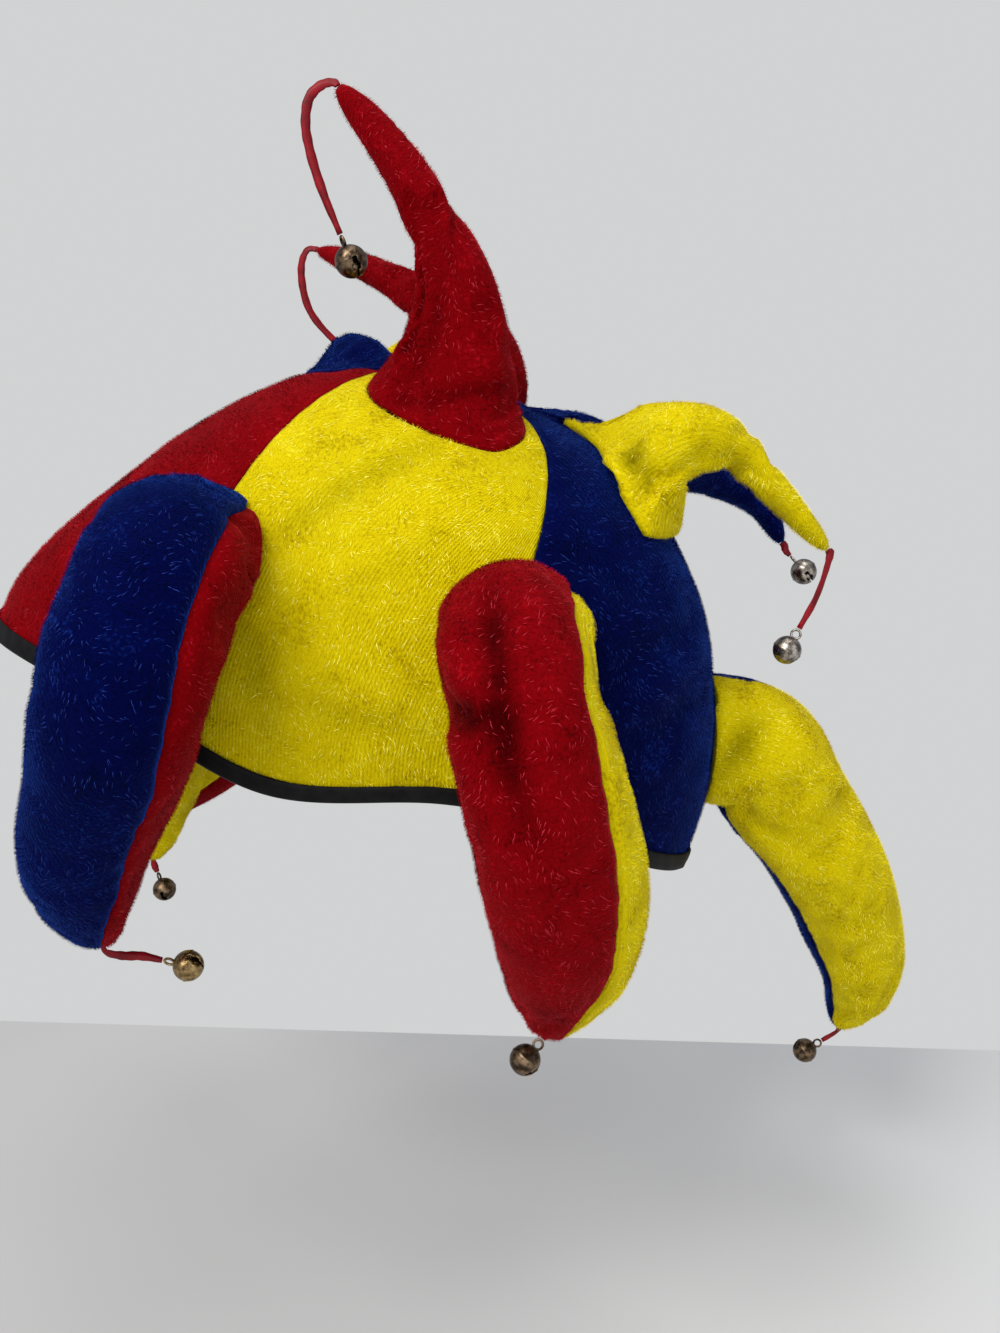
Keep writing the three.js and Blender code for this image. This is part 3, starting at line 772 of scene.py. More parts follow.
@dataclass(frozen=True)
class Pile:
    """The nap of the velour: short strands that lean in drifting directions.

    Args:
        density: Strands a square metre.
        length: A strand's length.
        width: A strand's width at its root.
        lean: How far a strand leans from upright, in degrees.
        drift: How often a metre the strands' heading drifts.
        stray: How far a strand may stray from that heading, in radians.
        bend: The least and the greatest share of the lean.
        size: The least and the greatest length, as shares.
        stub: The length that is left where the pile is worn away, as a share.
    """

    density: float = 2.4e6
    length: float = 1.45 * MM
    width: float = 0.15 * MM
    lean: float = 54.0
    drift: float = 60.0
    stray: float = 0.9
    bend: Row = (0.45, 1.2)
    size: Row = (0.6, 1.25)
    stub: float = 0.4

    def strand(self) -> bpy.types.Object:
        """One strand, a thin blade standing on its root.

        Returns:
            An object that isn't linked to the scene.
        """
        mesh = bpy.data.meshes.new("strand")
        half = self.width / 2
        mesh.from_pydata([(-half, 0, 0), (half, 0, 0), (0, 0, self.length)], [], [(0, 1, 2)])
        # tip runs from 0 at the root to 1 at the tip; the velour paints shade towards the roots with it
        set_attribute(mesh, "tip", np.array([0.0, 0.0, 1.0]))
        return bpy.data.objects.new("strand", mesh)

    def group(self, strand: bpy.types.Object, material: bpy.types.Material) -> bpy.types.NodeTree:
        """The node group that spreads the strands over a cloth.

        Args:
            strand: The strand to repeat.
            material: Its material.

        Returns:
            The node group.
        """
        tree = bpy.data.node_groups.new("pile_" + material.name, "GeometryNodeTree")
        sockets = {"Geometry": "Geometry", "Density": "Float", "Lean": "Float", "Seed": "Int"}
        for label, kind in sockets.items():
            tree.interface.new_socket(label, in_out="INPUT", socket_type="NodeSocket" + kind)
        tree.interface.new_socket("Geometry", in_out="OUTPUT", socket_type="NodeSocketGeometry")
        graph = Graph(tree)
        given = graph.add("NodeGroupInput", {}).outputs
        seed = given["Seed"]
        mask = graph.add("GeometryNodeInputNamedAttribute", {"Name": "pile"}, data_type="FLOAT")
        pile = mask.outputs["Attribute"]
        density = graph.math("MULTIPLY", pile, given["Density"])
        where = {"Mesh": given["Geometry"], "Density": density, "Seed": seed}
        spread = graph.add("GeometryNodeDistributePointsOnFaces", where).outputs
        place = graph.add("GeometryNodeInputPosition", {}).outputs["Position"]
        drift = graph.math("MULTIPLY", graph.noise(place, self.drift, 2.0), 4 * math.pi)
        heading = graph.math("ADD", drift, graph.chance(seed, -self.stray, self.stray))
        bend = graph.math("MULTIPLY", graph.chance(seed, *self.bend), given["Lean"])
        local = graph.add("ShaderNodeCombineXYZ", {"X": bend, "Z": heading}).outputs["Vector"]
        lean = graph.add("FunctionNodeEulerToRotation", {"Euler": local}).outputs["Rotation"]
        both = {"Rotation": spread["Rotation"], "Rotate By": lean}
        turned = graph.add("FunctionNodeRotateRotation", both, rotation_space="LOCAL")
        short = graph.math("MULTIPLY_ADD", pile, 1 - self.stub, self.stub)
        keep = graph.add("GeometryNodeStoreNamedAttribute", {
            "Geometry": spread["Points"], "Name": "fleck", "Value": graph.chance(seed, 0.0, 1.0),
        }, data_type="FLOAT")
        copies = graph.add("GeometryNodeInstanceOnPoints", {
            "Points": keep.outputs["Geometry"],
            "Instance": graph.add("GeometryNodeObjectInfo", {"Object": strand}).outputs["Geometry"],
            "Rotation": turned.outputs["Rotation"],
            "Scale": graph.math("MULTIPLY", short, graph.chance(seed, *self.size)),
        })
        real = graph.add("GeometryNodeRealizeInstances", {"Geometry": copies.outputs["Instances"]})
        dye = {"Geometry": real.outputs["Geometry"], "Material": material}
        dyed = graph.add("GeometryNodeSetMaterial", dye).outputs["Geometry"]
        graph.add("NodeGroupOutput", {"Geometry": dyed})
        return tree

    def grow(self, cloth: bpy.types.Object, tree: bpy.types.NodeTree, seed: int) -> bpy.types.Object:
        """Grows the pile of one piece of cloth as a piece of its own.

        Args:
            cloth: The cloth, with a pile attribute.
            tree: The node group.
            seed: Varies the strands.

        Returns:
            The pile.
        """
        obj = bpy.data.objects.new(cloth.name + "_pile", cloth.data.copy())
        bpy.context.scene.collection.objects.link(obj)
        modifier = obj.modifiers.new("pile", "NODES")
        modifier.node_group = tree
        values = {"Density": self.density, "Lean": math.radians(self.lean), "Seed": seed}
        for item in tree.interface.items_tree:
            if item.in_out == "INPUT" and item.name in values:
                modifier[item.identifier] = values[item.name]
        settle(obj)
        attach(obj, "root")
        return obj


# Crown


@dataclass(frozen=True)
class Crown:
    """The form of the crown, in its own frame: x right, y back, z from the rim to the top.

    Args:
        width: Across the rim.
        depth: Front to back.
        height: Rim to top.
        lean: How far the crown leans to the right, in degrees.
        wall: The cloth's thickness.
        inset: How far a gore stays off its seams, as a share of its width.
    """

    width: float = 262 * MM
    depth: float = 138 * MM
    height: float = 141 * MM
    lean: float = 18.5
    wall: float = 1.8 * MM
    inset: float = 0.004
    profile: ClassVar[Table] = (
        (0, 0, 1, 0.9, 0),
        (0.15, 0.2, 0.97, 0.97, 0.02),
        (0.3, 0.4, 0.89, 1, 0.045),
        (0.45, 0.58, 0.785, 0.97, 0.065),
        (0.58, 0.72, 0.68, 0.88, 0.075),
        (0.7, 0.83, 0.565, 0.75, 0.075),
        (0.83, 0.925, 0.42, 0.56, 0.065),
        (0.92, 0.978, 0.26, 0.34, 0.045),
        (1, 1, 0, 0, 0.02),
    )
    rim: ClassVar[Table] = (
        (-90, 0.07), (-35, 0.075), (-8, 0.01), (16, 0.11), (32, 0.12),
        (60, 0.05), (90, 0.03), (150, 0.05), (210, 0.04), (270, 0.07),
    )
    seams: ClassVar[Table] = (
        (-26, -41, -56), (20, 18, 30), (96, 100, 104), (157, 152, 146), (197, 198, 203), (236, 232, 240),
    )

    def face(self, turn: np.ndarray, climb: np.ndarray) -> np.ndarray:
        """Points of the crown's outer face, in the crown's frame.

        Args:
            turn: Degrees round from the front.
            climb: Share of the way from rim to top.

        Returns:
            The points.
        """
        turn, climb = np.broadcast_arrays(np.asarray(turn, float), np.asarray(climb, float))
        rise, wide, deep, shift = (read_table(self.profile, climb, i) for i in (1, 2, 3, 4))
        wrapped = np.where(turn > 270, turn - 360, turn)
        lift = read_table(self.rim, wrapped)
        angle = np.radians(turn)
        x = (shift + wide * np.sin(angle)) * self.width / 2
        y = -deep * np.cos(angle) * self.depth / 2
        z = (rise + lift * np.maximum(1 - climb, 0) ** 3) * self.height
        return np.stack([x, y, z], -1)

    def normal(self, turn: np.ndarray, climb: np.ndarray) -> np.ndarray:
        """Outward directions of the crown, in its frame.

        Args:
            turn: Degrees round from the front.
            climb: Share of the way from rim to top.

        Returns:
            The directions.
        """
        middle = np.clip(climb, 0.01, 0.98)
        side = self.face(turn + 2, middle) - self.face(turn - 2, middle)
        up = self.face(turn, middle + 0.01) - self.face(turn, middle - 0.01)
        return unit(np.cross(side, up))

    def seam(self, index: int, climb: np.ndarray) -> np.ndarray:
        """The turn of a seam at a height.

        Args:
            index: Which seam, from 0.
            climb: Share of the way from rim to top.

        Returns:
            Its turns in degrees.
        """
        foot, half, top = self.seams[index % len(self.seams)]
        turns = read_table(((0, foot), (0.5, half), (1, top)), climb)
        return turns + (360 if index >= len(self.seams) else 0)

    def across(self, index: int, share: np.ndarray, climb: np.ndarray) -> np.ndarray:
        """The turn at a share of the way across a gore.

        Args:
            index: Which gore.
            share: How far across it.
            climb: How far up it.

        Returns:
            The turns in degrees.
        """
        left, right = self.seam(index, climb), self.seam(index + 1, climb)
        return left + (right - left) * (self.inset + share * (1 - 2 * self.inset))

    def point(self, turn: np.ndarray, climb: np.ndarray, off: float) -> np.ndarray:
        """Points off the crown's outer face, in its frame.

        Args:
            turn: Degrees round from the front.
            climb: Share of the way from rim to top.
            off: How far outside the face.

        Returns:
            The points.
        """
        return self.face(turn, climb) + self.normal(turn, climb) * off

    def outside(self, points: np.ndarray) -> np.ndarray:
        """How far points are outside the crown, measured level with its rim.

        Args:
            points: The points, in the crown's frame.

        Returns:
            The distances, negative inside.
        """
        grid = np.linspace(0, 1, 400)
        rise = np.maximum.accumulate(read_table(self.profile, grid))
        level = points[:, 2] / self.height
        climb = np.interp(level, rise, grid)
        for _ in range(4):
            wide, deep, shift = (read_table(self.profile, climb, i) for i in (2, 3, 4))
            x = (points[:, 0] / (self.width / 2) - shift) / np.maximum(wide, 1e-3)
            y = -points[:, 1] / (self.depth / 2) / np.maximum(deep, 1e-3)
            turn = np.degrees(np.arctan2(x, y))
            turn = np.where(turn < -90, turn + 360, turn)
            lift = read_table(self.rim, turn)
            climb = np.interp(level - lift * (1 - climb) ** 3, rise, grid)
        far = np.hypot(x, y)
        reach = np.hypot(x * wide * self.width, y * deep * self.depth) / 2
        return (far - 1) * reach / np.maximum(far, 1e-6)

    def to_row(self, points: np.ndarray) -> np.ndarray:
        """Takes points from the crown's frame to the hat's.

        Args:
            points: The points.

        Returns:
            The points in the hat's frame.
        """
        a = math.radians(self.lean)
        turn = np.array([[math.cos(a), 0, math.sin(a)], [0, 1, 0], [-math.sin(a), 0, math.cos(a)]])
        seat = self.face(0, 1) - np.array([0, 0, self.wall])
        return (points - seat) @ turn.T


@dataclass(frozen=True)
class Fold:
    """A soft ridge or valley across a piece of cloth.

    Args:
        start: Where it begins, in millimetres in the hat's frame.
        end: Where it ends.
        width: Its half width in millimetres.
        height: How far it stands out, or in if negative, in millimetres.
    """

    start: Row
    end: Row
    width: float
    height: float

    def lift(self, points: np.ndarray, out: np.ndarray) -> np.ndarray:
        """How far the fold moves some points.

        Args:
            points: The points in metres.
            out: The cloth's outward directions there.

        Returns:
            The distances in metres.
        """
        a, b = np.array(self.start) * MM, np.array(self.end) * MM
        way = b - a
        t = np.clip((points - a) @ way / (way @ way), 0, 1)
        away = points - (a + t[:, None] * way)
        depth = (away * out).sum(1)
        gap = np.linalg.norm(away - out * depth[:, None], axis=1)
        fade = np.sin(np.pi * np.clip(t, 0.1, 0.9)) ** 0.5 * np.clip(2 - np.abs(depth) / (7 * MM), 0, 1)
        return self.height * MM * fade * np.exp(-((gap / (self.width * MM)) ** 2))


@dataclass(frozen=True)
class Gore:
    """One panel of the crown's cloth, up to the arch that its horn stands on.

    Args:
        name: Which gore.
        index: Its place round the crown.
        cloth: What it is cut from.
        arch: How high it climbs at shares of the way across.
        folds: Its larger creases.
        groove: How far the cloth dips at a seam.
        groove_width: How wide that dip is.
        pucker: How far it puckers beside a seam.
        pucker_width: How far the puckers reach.
        columns: Steps across it.
        rows: Steps up it.
    """

    name: str
    index: int
    cloth: Cloth
    arch: Table
    folds: tuple[Fold, ...] = ()
    groove: float = 1.1 * MM
    groove_width: float = 2.2 * MM
    pucker: float = 0.35 * MM
    pucker_width: float = 6 * MM
    columns: int = 64
    rows: int = 72

    def build(self, crown: Crown, material: bpy.types.Material) -> bpy.types.Object:
        """Makes the panel.

        Args:
            crown: The crown's form.
            material: Its velour.

        Returns:
            The piece.
        """
        share = np.linspace(0, 1, self.columns + 1)
        top = read_table(self.arch, share)
        up = np.linspace(0, 1, self.rows + 1)
        climb = up[:, None] * top[None, :]
        turn = crown.across(self.index, np.broadcast_to(share[None, :], climb.shape), climb)
        face = crown.face(turn, climb)
        out = crown.normal(turn, climb)
        wide = np.linalg.norm(face[:, -1:] - face[:, :1], axis=-1)
        side = np.minimum(share, 1 - share)[None, :] * wide
        flat = face.reshape(-1, 3)
        place = crown.to_row(flat)
        edge = side.ravel()
        lift = 0.9 * MM * value_noise(place, 34 * MM, self.index)
        lift += 0.5 * MM * value_noise(place, 14 * MM, self.index + 9)
        pucker = np.sin(climb.ravel() * 95 + 3 * value_noise(place, 0.02, 4 + self.index))
        lift += self.pucker * pucker * np.exp(-edge / self.pucker_width)
        lift -= self.groove * np.exp(-edge / self.groove_width)
        facing = crown.to_row(flat + out.reshape(-1, 3)) - place
        creased = sum((fold.lift(place, facing) for fold in self.folds), np.zeros(len(place)))
        lift += creased
        lift *= np.clip(edge / 0.001, 0.35, 1) * np.clip(climb.ravel() / 0.05, 0, 1)
        moved = crown.to_row(flat + out.reshape(-1, 3) * lift[:, None])
        inner = crown.to_row(flat + out.reshape(-1, 3) * (lift - crown.wall)[:, None])
        obj = new_object(f"gore_{self.name}_cloth", self.mesh(moved, inner), material)
        mask = np.zeros(len(obj.data.vertices))
        mask[: len(moved)] = np.clip(edge / (2 * MM), 0.3, 1)
        set_attribute(obj.data, "pile", mask)
        set_course(obj.data, share[None, :] * wide, climb * 0.17)
        # painted shade: the creases' depth is stored for the velour to darken them
        set_attribute(obj.data, "hollow", np.tile(np.clip(-creased / DEEP, 0, 1), 2))
        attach(obj, "root")
        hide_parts(f"gore_{self.name}")
        return obj

    def mesh(self, outer: np.ndarray, inner: np.ndarray) -> bpy.types.Mesh:
        """Joins two grids of points into a closed wall.

        Args:
            outer: The outer grid.
            inner: The inner grid.

        Returns:
            The mesh.
        """
        wide, tall = self.columns + 1, self.rows + 1
        count = wide * tall
        at = np.arange(count).reshape(tall, wide)
        a, b, c, d = at[:-1, :-1], at[:-1, 1:], at[1:, 1:], at[1:, :-1]
        front = np.stack([a, b, c, d], -1).reshape(-1, 4)
        loop = np.concatenate([at[0, :-1], at[:-1, -1], at[-1, :0:-1], at[:0:-1, 0]])
        after = np.roll(loop, -1)
        rim = np.stack([after, loop, loop + count, after + count], -1)
        faces = np.vstack([front, front[:, ::-1] + count, rim])
        mesh = bpy.data.meshes.new("gore")
        mesh.from_pydata(np.vstack([outer, inner]).tolist(), [], faces.tolist())
        mesh.update()
        return mesh


# Stuffed horns


@dataclass(frozen=True)
class Places:
    """Places along a curve, with a front and a side direction carried along it without twist.

    Args:
        point: The places.
        way: The directions along the curve.
        front: The front directions.
        side: The side directions.
    """

    point: np.ndarray
    way: np.ndarray
    front: np.ndarray
    side: np.ndarray

    @staticmethod
    def carry(points: np.ndarray, shares: np.ndarray, front: np.ndarray) -> "Places":
        """Finds places along the curve through some points.

        Args:
            points: The points the curve passes through.
            shares: Where the places are, as shares of the curve's length.
            front: The front direction at the start.

        Returns:
            The places.
        """
        line = catmull(points, 40)
        run = np.concatenate([[0.0], np.cumsum(np.linalg.norm(np.diff(line, axis=0), axis=1))])
        slope = unit(np.gradient(line, run, axis=0))
        at = shares * run[-1]
        spot = np.stack([np.interp(at, run, line[:, k]) for k in range(3)], -1)
        way = unit(np.stack([np.interp(at, run, slope[:, k]) for k in range(3)], -1))
        facing = unit(front - (front @ way[0]) * way[0])
        fronts = [facing]
        for a, b in zip(way[:-1], way[1:]):
            axis, cosine = np.cross(a, b), a @ b
            facing = facing * cosine + np.cross(axis, facing) + axis * (axis @ facing) / (1 + cosine)
            facing = unit(facing - (facing @ b) * b)
            fronts.append(facing)
        carried = np.array(fronts)
        return Places(spot, way, carried, np.cross(way, carried))


@dataclass(frozen=True)
class Stuffing:
    """The filling of a horn: its cloth is let out a little and swelled by pressure.

    Args:
        pressure: How hard the filling presses.
        spare: How much larger the cloth is than its place, as a share.
        frames: How long it swells.
        cap: The furthest a point may move.
    """

    pressure: float = 4.0
    spare: float = 0.05
    frames: int = 20
    cap: float = 2.4 * MM

    def swell(self, obj: bpy.types.Object, held: np.ndarray) -> None:
        """Swells a closed cloth and keeps the result.

        Args:
            obj: The cloth.
            held: How firmly each point is sewn in place, from 0 to 1.
        """
        before, _ = coords(obj.data)
        group = obj.vertex_groups.new(name="sewn")
        for level in np.unique(held):
            if level > 0:
                group.add(np.flatnonzero(held == level).tolist(), float(level), "REPLACE")
        cloth = obj.modifiers.new("stuffing", "CLOTH")
        rules = cloth.settings
        rules.quality = 6
        rules.use_pressure = True
        rules.uniform_pressure_force = self.pressure
        rules.vertex_group_mass = group.name
        rules.shrink_min = -self.spare
        rules.effector_weights.gravity = 0
        scene = bpy.context.scene
        for step in range(1, self.frames + 1):
            scene.frame_set(step)
        graph = bpy.context.evaluated_depsgraph_get()
        after, _ = coords(obj.evaluated_get(graph).data)
        obj.modifiers.clear()
        obj.vertex_groups.clear()
        scene.frame_set(1)
        moved = after - before
        length = np.linalg.norm(moved, axis=1)
        share = np.where(length > self.cap, self.cap / np.maximum(length, 1e-9), 1.0)
        set_coords(obj.data, before + moved * share[:, None])


def ring_mesh(rings: np.ndarray, first: np.ndarray, last: np.ndarray) -> bpy.types.Mesh:
    """Joins closed rings of points into a closed mesh with a point at each end.

    Args:
        rings: The rings, one a row.
        first: The point before the first ring.
        last: The point after the last ring.

    Returns:
        The mesh, its faces turned outwards.
    """
    count, wide = rings.shape[:2]
    at = np.arange(count * wide).reshape(count, wide)
    side = np.roll(at, -1, 1)
    quads = np.stack([at[:-1], side[:-1], side[1:], at[1:]], -1).reshape(-1, 4)
    start, end = count * wide, count * wide + 1
    caps = [(start, int(b), int(a)) for a, b in zip(at[0], side[0])]
    caps += [(end, int(a), int(b)) for a, b in zip(at[-1], side[-1])]
    points = np.vstack([rings.reshape(-1, 3), first, last])
    return outward_mesh("horn", points.tolist(), quads.tolist() + caps)


@dataclass
class Clearance:
    """Keeps each new piece of cloth off the pieces that are already there.

    Args:
        gap: The gap that is kept.
        trees: Search trees over the outer faces of the pieces so far.
        bald: How near a neighbour cloth has no pile.
        growing: How much further off it has all of it.
        aside: How far beside an open layer a point may be and still be moved.
    """

    gap: float
    trees: list[tuple[BVHTree, bool]]
    bald: float = 1.0 * MM
    growing: float = 1.2 * MM
    aside: float = 0.6 * MM

    def add(self, obj: bpy.types.Object, closed: bool) -> None:
        """Takes in a piece.

        Args:
            obj: The piece.
            closed: Whether it is a filled piece, and not a layer of cloth.
        """
        mesh = obj.data
        shown = np.ones(len(mesh.vertices), bool)
        if not closed:
            mask = np.zeros(len(mesh.vertices), np.float32)
            mesh.attributes["pile"].data.foreach_get("value", mask)
            shown = mask > 0.2
        faces = [tuple(p.vertices) for p in mesh.polygons if all(shown[i] for i in p.vertices)]
        self.trees.append((BVHTree.FromPolygons([v.co.copy() for v in mesh.vertices], faces), closed))

    def push(self, points: np.ndarray, reach: float = 12 * MM) -> np.ndarray:
        """Moves points out of the pieces that are already there.

        Args:
            points: The points.
            reach: How deep a point may be and still be moved.

        Returns:
            The points, clear by the gap.
        """
        out = points.copy()
        for tree, closed in self.trees:
            for i, p in enumerate(out):
                near, normal, _, _ = tree.find_nearest(Vector(p), reach)
                if near is None:
                    continue
                away = Vector(p) - near
                depth = away.dot(normal)
                aside = (away - normal * depth).length
                if depth < self.gap and (closed or aside < self.aside):
                    out[i] = np.array(near + normal * self.gap)
        return out

    def bare(self, points: np.ndarray, reach: float = 4 * MM) -> np.ndarray:
        """How free each point is of its neighbours.

        Args:
            points: The points.
            reach: The furthest distance that matters.

        Returns:
            From 0 against a neighbour to 1 in the open.
        """
        gap = gap_to([tree for tree, _ in self.trees], points, reach)
        return np.clip((gap - self.bald) / self.growing, 0, 1)


@dataclass(frozen=True)
class Horn:
    """A stuffed horn of the hat.

    Args:
        name: Which horn.
        index: Its place round the crown.
        route: Its centre line from its base, as shares of its length.
        folds: Its larger creases.
        fill: How tightly it is stuffed, from 0 to 1. Not used.
        slim: Its girth before it is filled, as a share of its place.
    """

    name: str
    index: int
    route: Table
    folds: tuple[Fold, ...] = ()
    fill: float = 0.75
    slim: float = 0.955

    def wrinkle(self, points: np.ndarray, out: np.ndarray, shows: np.ndarray) -> np.ndarray:
        """Moves cloth into its creases and small waves.

        Args:
            points: The cloth's points.
            out: Their outward directions.
            shows: How much of the small waves each takes, from 0 to 1.

        Returns:
            The points moved.
        """
        seed = self.index * 2.7 + len(self.name)
        lift = 0.5 * MM * value_noise(points, 26 * MM, seed)
        lift += 0.3 * MM * value_noise(points, 11 * MM, seed + 5)
        return points + out * (lift * shows + self.creased(points, out))[:, None]

    def creased(self, points: np.ndarray, out: np.ndarray) -> np.ndarray:
        """How far the larger creases move the cloth.

        Args:
            points: The cloth's points.
            out: Their outward directions.

        Returns:
            The distances in metres.
        """
        return sum((fold.lift(points, out) for fold in self.folds), np.zeros(len(points)))

    def finish(self, obj: bpy.types.Object, node: str, cloth: Cloth, mask: np.ndarray) -> bpy.types.Object:
        """Gives one piece of cloth of the horn its pile mask, hangs it on the hat and hides the solid it
        stands for.

        Args:
            obj: The piece.
            node: The solid it stands for.
            cloth: What it is cut from. Not used.
            mask: Where its pile shows.

        Returns:
            The piece.
        """
        set_attribute(obj.data, "pile", mask)
        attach(obj, "root")
        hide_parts(node)
        return obj


@dataclass(frozen=True)
class UpperHorn(Horn):
    """A horn that stands on the arch of a gore.

    Args:
        cloth: What it is cut from.
        fullness: How fat it is beside the others.
        base: The outline of its base as shares across the gore and up the crown, where it is sewn onto the
            gore and doesn't stand on its arch.
        length: Base to tip.
        width: Across its root.
        thickness: Through its root.
        arch_gap: The gap between the gore's arch and its base.
        laid: How far off the crown a base is that is sewn onto the gore.
        columns: Steps across its arch.
        rings: Steps along it.
    """

    cloth: Cloth = Cloth.RED
    fullness: float = 1.0
    base: Table = ()
    length: float = 118 * MM
    width: float = 50 * MM
    thickness: float = 40 * MM
    arch_gap: float = 0.7 * MM
    laid: float = 2.6 * MM
    columns: int = 44
    rings: int = 52
    sewn: ClassVar[Table] = ((0, 1), (0.04, 1), (0.1, 0), (0.6, 0), (0.85, 1), (1, 1))
    girth: ClassVar[Table] = (
        (0, 1, 0), (0.05, 0.91, 0.15), (0.13, 0.81, 0.5), (0.23, 0.67, 0.85), (0.34, 0.52, 1),
        (0.47, 0.4, 1),
        (0.61, 0.32, 1), (0.76, 0.26, 1), (0.9, 0.2, 1), (0.98, 0.11, 1), (1, 0.05, 1),
    )

    def outline(
        self, crown: Crown, arch: Table, columns: int, sides: np.ndarray, off: float
    ) -> np.ndarray:
        """The outline of the base on the crown.

        Args:
            crown: The crown's form.
            arch: The arch it stands on.
            columns: Steps across the arch.
            sides: Corners above the ends of the arch, as shares of the way to the top.
            off: How far off the crown's outer face.

        Returns:
            The outline's points, in the crown's frame.
        """
        if self.base:
            loop = np.array(self.base + self.base[:1])
            run = np.concatenate([[0], np.cumsum(np.linalg.norm(np.diff(loop, axis=0), axis=1))])
            at = np.linspace(0, run[-1], columns + 1 + 2 * len(sides), endpoint=False)
            share, climb = np.interp(at, run, loop[:, 0]), np.interp(at, run, loop[:, 1])
            return crown.point(crown.across(self.index, share, climb), climb, off + self.laid)
        share = np.linspace(0, 1, columns + 1)
        climb = read_table(arch, share) + self.arch_gap / crown.height
        right = arch[-1][1] + (1 - arch[-1][1]) * sides
        left = arch[0][1] + (1 - arch[0][1]) * sides[::-1]
        share = np.concatenate([share, np.ones(len(sides)), np.zeros(len(sides))])
        climb = np.concatenate([climb, right, left])
        return crown.point(crown.across(self.index, share, climb), climb, off)

    def build(
        self, crown: Crown, arch: Table, dye: bpy.types.Material, clear: Clearance
    ) -> bpy.types.Object:
        """Makes the horn.

        Args:
            crown: The crown's form.
            arch: The arch it stands on.
            dye: Its velour.
            clear: Keeps it off its neighbours.

        Returns:
            The piece.
        """
        centre = self.outline(crown, arch, 8, np.array([0.45, 0.9]), 0.0).mean(0)
        sides = np.linspace(0, 0.9, 9)[1:]
        base = self.outline(crown, arch, self.columns, sides, 0.0)
        under = self.outline(crown, arch, self.columns, sides, -crown.wall)
        middle = (arch[0][1] + read_table(arch, np.array([0.5]))[0]) / 2
        if self.base:
            middle = float(column(self.base, 1).mean())
        turn = crown.across(self.index, np.array([0.65 if self.base else 0.5]), np.array([middle]))
        up = unit(crown.face(turn, middle + 0.01) - crown.face(turn, middle - 0.01))[0]
        seat = crown.point(turn, np.array([middle]), self.laid - crown.wall if self.base else -crown.wall)
        shares = np.linspace(0, 0.995, self.rings)
        places = Places.carry(centre + np.vstack([np.zeros(3), self.route]) * self.length, shares, up)
        away = base - centre
        front, side, along = (away @ d[0] for d in (places.front, places.side, places.way))
        angle = np.arctan2(front, side)
        girth = read_table(self.girth, shares)[:, None]
        girth *= np.where(shares > 0.03, self.slim, 1.0)[:, None]
        oval = np.clip(read_table(self.girth, shares, 2), 0, 1)[:, None]
        wide, thick = self.width * self.fullness / 2, self.thickness * self.fullness / 2
        front = (front + (np.sin(angle) * thick - front) * oval) * girth
        side = (side + (np.cos(angle) * wide - side) * oval) * girth
        along = along * (1 - oval)
        rings = (
            places.point[:, None]
            + front[..., None] * places.front[:, None]
            + side[..., None] * places.side[:, None]
            + along[..., None] * places.way[:, None]
        )
        rings = np.concatenate([under[None], rings])
        flat = crown.to_row(rings.reshape(-1, 3)).reshape(rings.shape)
        tip = crown.to_row(places.point[-1:] + places.way[-1:] * 0.4 * MM)
        mesh = ring_mesh(flat, crown.to_row(seat), tip)
        obj = new_object(f"upper_horn_{self.name}_cloth", mesh, dye)
        count, wide_count = rings.shape[:2]
        level = np.interp(np.arange(count) / count, column(self.sewn, 0), column(self.sewn, 1))
        held = np.concatenate([np.repeat(np.round(level, 2), wide_count), [1, 1]])
        Stuffing().swell(obj, held)
        co, out = coords(mesh)
        # painted shade: the creases' depth is stored for the velour to darken them
        set_attribute(mesh, "hollow", np.clip(-self.creased(co, out) / DEEP, 0, 1))
        shows = np.clip(1 - held, 0, 1)
        co = self.wrinkle(co, out, shows)
        body = slice(2 * wide_count, len(co) - 2)
        co[body] = clear.push(co[body])
        set_coords(mesh, co)
        mask = np.ones(len(co))
        mask[:wide_count] = 0
        mask[-2:] = (0, 1)
        mask[wide_count:] *= np.maximum(clear.bare(co[wide_count:]), WORN)
        around = np.linspace(0, 0.1, wide_count)
        along = np.repeat(np.linspace(0, 1, count) * self.length, wide_count)
        set_course(mesh, np.tile(around, count), along)
        return self.finish(obj, f"upper_horn_{self.name}", self.cloth, mask)


